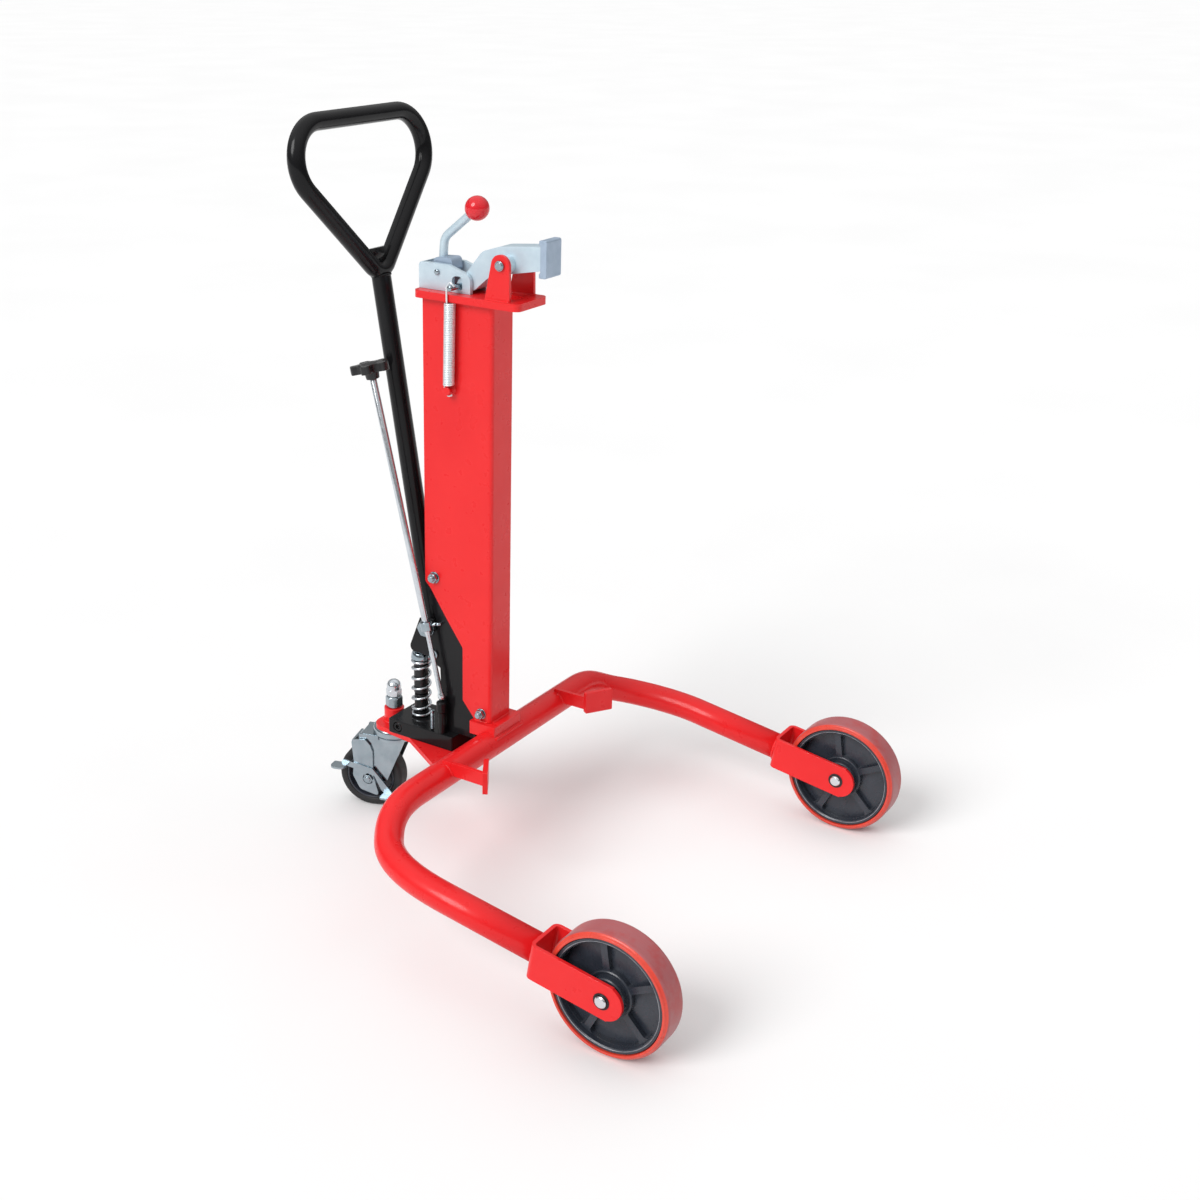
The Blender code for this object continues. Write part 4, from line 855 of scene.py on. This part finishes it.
shells = [crossbar(0.006, bolt_at, 0.029, 40, 0.0008)]
for s in SIDES:
    shells += [hexagon(0.024, (s * 0.0182, *bolt_at), (s * 0.0265, *bolt_at)),
               rod(0.0132, (s * 0.0166, *bolt_at), (s * 0.0182, *bolt_at), 48, 0.0004)]
show(merged(*shells), "socket_bolt", bevel=0.0003)
shells = [crossbar(0.005, PIVOT.yz, CHEEK_X + 0.004, 40, 0.0006)]
for s in SIDES:
    near, far = s * (CHEEK_X + 0.0001), s * (CHEEK_X + 0.003)
    shells.append(rod(0.008, (near, *PIVOT.yz), (far, *PIVOT.yz), 48, 0.0006))
show(merged(*shells), "pivot_pin", bevel=0.0003)

roller = [(0.0113, 0.008), (ROLLER_R, 0.0068), (ROLLER_R, -0.0068), (0.0113, -0.008), (0.0043, -0.008),
          (0.0043, 0.008)]
show(turned(roller, ROLLER, X, 64, True), "pump_roller", bevel=0.0004)
show(crossbar(0.004, ROLLER.yz, 0.0163, 32, 0.0005), "roller_pin", bevel=0.0002)
show(rod(0.0145, socket_top, HANDLE_TOP - axis * 0.0175, 56, 0.0008), "handle_tube", bevel=0.0003)

# ---- D-grip, welded to the tube with a gusset
GRIP_H, GRIP_X = 0.2085, 0.2175
corners = [HANDLE_TOP - axis * 0.022, HANDLE_TOP + axis * GRIP_H + X * GRIP_X,
           HANDLE_TOP + axis * GRIP_H - X * GRIP_X]
grip = sweep(bent(corners, [0.024, 0.055, 0.055], 28, cyclic=True), 0.013, 40, True)
seam = bead(ring_at(HANDLE_TOP - axis * 0.019, axis, 0.0135), 0.0022, True)
gusset = rounded([(-0.027, 0.021), (0.027, 0.021), (0.005, -0.005), (-0.005, -0.005)], 0.0006)
up_handle = Matrix(((1, 0, 0, 0), (0, axis.y, -axis.z, 0), (0, axis.z, axis.y, 0), (0, 0, 0, 1)))
gusset = moved(extruded(gusset, -0.007, 0.007, "XY"), Matrix.Translation(HANDLE_TOP) @ up_handle)
show(merged(grip, gusset, seam), "d_grip", bevel=0)

# ---- inner mast and head plate with its lugs
mast = channel(0.0229, 0.0045, 0.112, 0.003, 0.004, 0.001, 6)
show(extruded(mast, 0.45, PLATE_Z0 - GAP, "XY"), "inner_mast", bevel=0.0005)

plate = rounded(rectangle(-0.0385, 0.0385, -0.05, 0.131), 0.01, 10)
throat = rounded(rectangle(-0.012, 0.012, -0.028, 0.012), 0.006, 8)
shells = [extruded(plate, PLATE_Z0, PLATE_Z1, "XY", [throat])]
lug = hull([(*LUG_PIN.yz, 0.015), (-0.032, PLATE_Z1 - 0.002, 0), (0.01, PLATE_Z1 - 0.002, 0)])
for s in SIDES:
    lug_x = s * 0.0305
    shells.append(extruded(lug, lug_x - 0.0025, lug_x + 0.0025, "YZ", [circle(LUG_PIN.yz, 0.0061, 48)]))
    for x in (lug_x - 0.0027, lug_x + 0.0027):
        shells.append(bead([(x, -0.031, PLATE_Z1), (x, 0.009, PLATE_Z1)], 0.0015))
show(merged(*shells), "head_plate", bevel=0.0022, segments=5)
shells = [crossbar(0.006, LUG_PIN.yz, 0.0375, 48, 0.001)]
clip = [(0.0072, 0.0), (0.0072, 0.001), (0.0058, 0.001), (0.0058, 0.0)]
shells += [turned(clip, (s * 0.035, *LUG_PIN.yz), X * s, 40, True) for s in SIDES]
show(merged(*shells), "lug_pin", bevel=0.0003)

# ---- beak and its jaw
back = [(-0.0719, 0.9455), (-0.003, 0.9385), (0.0267, 0.9288), (0.05, 0.9)]
tail = [(0.072, 0.88), (0.062, 0.8655)]
belly = [(0.04, 0.872), (0.012, 0.896), (-0.025, 0.903), (-0.0719, 0.912)]
outline = rounded(back + tail + belly, [0, 0.03, 0.02, 0.02, 0.008, 0.008, 0.02, 0.02, 0.03, 0], 8)
beak = merged(extruded(outline, -0.015, 0.015), crossbar(0.014, LUG_PIN.yz, 0.027, 64, 0.0006))
show(beak, "beak_arm", bevel=0.0024)
jaw = rounded([(-0.0825, 0.9025), (-0.0825, 0.9545), (-0.07, 0.9545), (-0.07, 0.949), (-0.0721, 0.946),
               (-0.0721, 0.911), (-0.07, 0.908), (-0.07, 0.9025)],
              [0.003, 0.003, 0.002, 0.001, 0.001, 0.001, 0.001, 0.002])
show(in_finish(extruded(jaw, -0.019, 0.019), JAW_STEEL), "jaw_plate", bevel=0.0024)

# ---- guide block, tail pin, clamp lever and its pin
PIN_HOLE_R, guide_z = 0.0041, PLATE_Z1 + GAP
outline = rounded([(0.0416, guide_z), (0.131, guide_z), (0.131, 0.905), (0.08, 0.905), (0.0416, 0.893)],
                  [0, 0, 0.006, 0.01, 0.012])
window = rounded([(0.0545, 0.8715), (0.0725, 0.8715), (0.0735, 0.8905), (0.056, 0.8905)],
                 [0.004, 0.005, 0.007, 0.005])
guide = cut(extruded(outline, -0.0225, 0.0225, "YZ", [window]), box(-0.016, 0.016, 0.03, 0.124, 0.86, 0.92),
            crossbar(PIN_HOLE_R, LEVER_PIVOT.yz, 0.04, 32))
show(guide, "guide_block", bevel=0.0008)
pin = [(0, 0.027), (0.0034, 0.027), (0.004, 0.0264), (0.004, -0.044), (0.0032, -0.045), (0, -0.045)]
show(turned(pin, TAIL_PIN, X, 40), "tail_pin", bevel=0)

slab = rounded([(0.079, 0.8975), (0.09, 0.882), (0.111, 0.882), (0.113, 0.911), (0.081, 0.913)],
               [0.004, 0.004, 0.006, 0.007, 0.006], 8)
slab = extruded(slab, -0.0125, 0.0125, "YZ", [circle(LEVER_PIVOT.yz, PIN_HOLE_R)])
lever_end, ball_at = Vector((0, 0.056, 0.9755)), Vector((0, 0.0455, 0.9845))
bar = sweep(bent([(0, 0.104, 0.908), (0, 0.102, 0.938), lever_end], 0.022, 16), 0.0062, 32)
show(merged(in_finish(slab, JAW_STEEL), bar), "clamp_lever", bevel=0.0012)
show(crossbar(0.004, LEVER_PIVOT.yz, 0.026, 40, 0.0006), "lever_pin", bevel=0)
ball = [(0, -0.0172), (0.0066, -0.0172), (0.0072, -0.0166)]
ball += arc((0, 0), 0.0175, -60, 90, 25)
show(turned(ball, ball_at, ball_at - lever_end, 72), "ball_knob", bevel=0.0003)


# ---- return spring, close wound
def spring_hook(x, places):
    return sweep(bent([(x, y, z) for y, z in places], 0.003, 10), SPRING_WIRE + 0.0001, 16)


body = coil((SPRING_X, 0.069), 0.0085 - SPRING_WIRE, SPRING_WIRE, 0.7355, 0.855, 47, 22, 8,
            Vector((0, -0.0025, 0)))
upper = spring_hook(SPRING_X - 0.004, ((0.0665, 0.848), (0.069, 0.858), (0.0692, 0.878), (0.063, 0.8855),
                                       (0.0555, 0.88)))
lower = spring_hook(SPRING_X + 0.001, ((0.069, 0.743), (0.0762, 0.737), (0.0775, 0.724), (0.07, 0.719),
                                       (0.0635, 0.7215)))
show(in_finish(merged(body, upper, lower), BRIGHT_WIRE), "return_spring", bevel=0, rides=False)
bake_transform(bpy.data.objects["return_spring_look"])

# ---- caster: race, kingpin and nuts
top = 0.1447
race = [(0.01, top), (0.032, top), (0.0336, top - 0.0016), (0.0345, top - 0.005), (0.0345, top - 0.011),
        (0.033, top - 0.0128), (0.03, top - 0.0135), (0.0083, top - 0.0135), (0.0083, top)]
show(upright(race, CASTER.y, 72, True), "caster_top_race", bevel=0.0004)
kingpin = [(0, 0.213), (0.008, 0.213), (0.008, 0.119), (0.011, 0.119), (0.011, 0.113), (0, 0.113)]
show(upright(kingpin, CASTER.y), "kingpin", bevel=0.0004)
show(hexagon(0.024, (0, CASTER.y, 0.1768), (0, CASTER.y, 0.196)), "stem_nut", bevel=0.0004)
dome = [(0.0116 * math.cos(math.radians(a)), 0.213 + 0.0108 * math.sin(math.radians(a)))
        for a in range(90, -1, -6)]
dome = merged(upright(dome + [(0.0114, 0.208), (0, 0.208)], CASTER.y, 56),
              hexagon(0.0218, (0, CASTER.y, 0.1963), (0, CASTER.y, 0.2085)))
show(in_finish(dome, ROD_STEEL), "dome_nut", bevel=0.0003)

# ---- caster: fork and axle, drawn trailing along +X; swing turns the caster to where it stands
trail = Vector((math.cos(CASTER_ANGLE), math.sin(CASTER_ANGLE), 0))
swing = Matrix(((trail.x, -trail.y, 0, CASTER.x), (trail.y, trail.x, 0, CASTER.y), (0, 0, 1, 0),
                (0, 0, 0, 1)))
fork_top, leg_y, axle_xz = 0.1308, 0.022, (CASTER_TRAIL, CASTER_R)
crown = turned([(0.0113, fork_top), (0.029, fork_top), (0.031, fork_top - 0.0016), (0.031, fork_top - 0.006),
                (0.027, fork_top - 0.007), (0.0113, fork_top - 0.007)], (0, 0, 0), Z, 72, True)
bridge = rounded(rectangle(-0.026, 0.05, -leg_y, leg_y), 0.004)
bridge = extruded(bridge, fork_top - 0.004, fork_top - 0.0002, "XY", [circle((0, 0), 0.0113)])
blade = hull([(*axle_xz, 0.0125), (0.0085, 0.056, 0.004), (-0.0225, fork_top - 0.003, 0.0025),
              (0.0505, fork_top - 0.003, 0.0025)])
shells = [crown, bridge]
for s in SIDES:
    leg = extruded(blade, -0.0015, 0.0015, "XZ", [circle(axle_xz, 0.0052)])
    shells.append(moved(leg, Matrix.Translation((0, s * leg_y, 0))))
show(moved(merged(*shells), swing), "caster_fork", bevel=0.0008)


def on_axle(y):
    return CASTER_TRAIL, y, CASTER_R


shells = [rod(0.0049, on_axle(-0.032), on_axle(0.032), 40, 0.0008)]
shells += [hexagon(0.014, on_axle(s * 0.0238), on_axle(s * 0.03)) for s in SIDES]
show(moved(merged(*shells), swing), "caster_axle", bevel=0.0003)


# ---- caster: wheel and brake pedal
def caster_ring(half, steps):
    return moved(turned(both_halves(half), on_axle(0), Y, steps, True), swing)


tyre = [(0.0405, 0.0155), (0.042, 0.0165), (0.047, 0.0165)]
tyre += [(CASTER_R - 0.006 + a, 0.0105 + b) for a, b in arc((0, 0), 0.006, 80, 8, 10)] + [(CASTER_R, 0.0085)]
show(caster_ring(tyre, 128), "caster_tyre", bevel=0)
core = [(0.0053, 0.0175), (0.0132, 0.0175), (0.0145, 0.0165), (0.016, 0.007), (0.0345, 0.006),
        (0.037, 0.015), (0.0378, 0.016), (0.0402, 0.016)]
show(caster_ring(core, 96), "caster_core", bevel=0.0004)

inside, outside = 0.0245, 0.0275
hook = rounded([(0.0285, 0.1023), (0.033, 0.1142), (0.0406, 0.1227), (0.065, 0.12), (0.061, 0.0789),
                (0.0634, 0.0567), (0.0512, 0.0331), (0.0179, 0.0243), (0.0285, 0.0604)],
               [0.004, 0.005, 0.006, 0.006, 0.006, 0.01, 0.01, 0.004, 0.006], 8)
bar = rounded([(0.08, 0.083), (0.0546, 0.079), (0.028, 0.073), (0.006, 0.048), (-0.006, 0.033),
               (0.002, 0.026), (0.014, 0.038), (0.025, 0.0612), (0.05, 0.068), (0.082, 0.074)], 0.003, 8)
rear_tab = rounded([(0.069, 0.028), (0.094, 0.028), (0.096, 0.05), (0.072, 0.05)],
                   [0, 0.003, 0.009, 0.009], 8)
front_tab = rounded(rectangle(-0.007, 0.012, 0.028, 0.048), [0, 0, 0.006, 0.006], 8)
pedal = merged(extruded(hook, inside, outside, "XZ", [circle(axle_xz, 0.0095, 40)]),
               extruded(bar, outside - 0.0005, outside + 0.0025, "XZ"),
               extruded(rear_tab, 0.0745, 0.0775, "XY"), extruded(front_tab, 0.03, 0.033, "XY"),
               box(0.061, 0.0645, -0.018, inside + 0.001, 0.1085, 0.1185))
show(moved(pedal, swing), "brake_pedal", bevel=0.0009)

# ---- floor
floor = bpy.data.objects.new("floor", bpy.data.meshes.new("floor"))
bm = bmesh.new()
bmesh.ops.create_grid(bm, x_segments=1, y_segments=1, size=60.0)
bm.to_mesh(floor.data)
bm.free()
scene.collection.objects.link(floor)
n = material("studio_floor")
pale = n.ramp(n.noise(1.4, 3.0), (0.35, (0.9, 0.9, 0.9)), (0.65, (0.92, 0.92, 0.92)))
floor.data.materials.append(n.into(Base_Color=pale, Roughness=n.spread(n.noise(3.0), 0.8, 0.92)))

# ---- light: a dome, bright above and dim below
world = bpy.data.worlds.new("studio")
scene.world = world
sky = Nodes(world, "Generated")
up = sky.add("ShaderNodeSeparateXYZ", {"Vector": sky.at}).outputs["Z"]
shade = sky.ramp(sky.spread(up, 0.0, 1.0, -1.0, 1.0), (0.5, 0.1), (0.58, 0.2), (0.76, 0.62), (0.95, 1.0))
dome_light = sky.tree.nodes["Background"]
sky.give(dome_light.inputs["Color"], shade)

# The camera sees plain white in place of the dome.
white = sky.add("ShaderNodeBackground", {"Color": (1.0, 1.0, 1.0, 1.0)})
seen = sky.add("ShaderNodeLightPath").outputs["Is Camera Ray"]
either = sky.add("ShaderNodeMixShader", {"Fac": seen, 1: dome_light.outputs[0], 2: white.outputs[0]})
sky.give(sky.tree.nodes["World Output"].inputs["Surface"], either.outputs[0])

key = bpy.data.lights.new("key", "SUN")
key.energy, key.angle = 1.95, math.radians(32)
lamp = bpy.data.objects.new("key", key)
lamp.rotation_euler = Vector((3.0, -0.8, -2.3)).to_track_quat("-Z", "Y").to_euler()
scene.collection.objects.link(lamp)

# ---- camera
azimuth, elevation, roll = math.radians(-56.29), math.radians(20.68), math.radians(0.548)
behind = Vector((math.sin(azimuth) * math.cos(elevation), -math.cos(azimuth) * math.cos(elevation),
                 math.sin(elevation)))
level = Vector((math.cos(azimuth), math.sin(azimuth), 0.0))
upward = behind.cross(level)
picture_x = math.cos(roll) * level + math.sin(roll) * upward
picture_y = math.cos(roll) * upward - math.sin(roll) * level
lens = bpy.data.cameras.new("camera")
lens.sensor_width, lens.lens, lens.shift_x, lens.shift_y = 36.0, 51.277, 0.0722, -0.031
camera = bpy.data.objects.new("camera", lens)
facing = Matrix((picture_x, picture_y, behind)).transposed().to_4x4()
camera.matrix_world = Matrix.Translation((-1.964, -1.331 + CROSS_Y, 1.363)) @ facing
scene.collection.objects.link(camera)
scene.camera = camera
scene.view_settings.view_transform = "Standard"
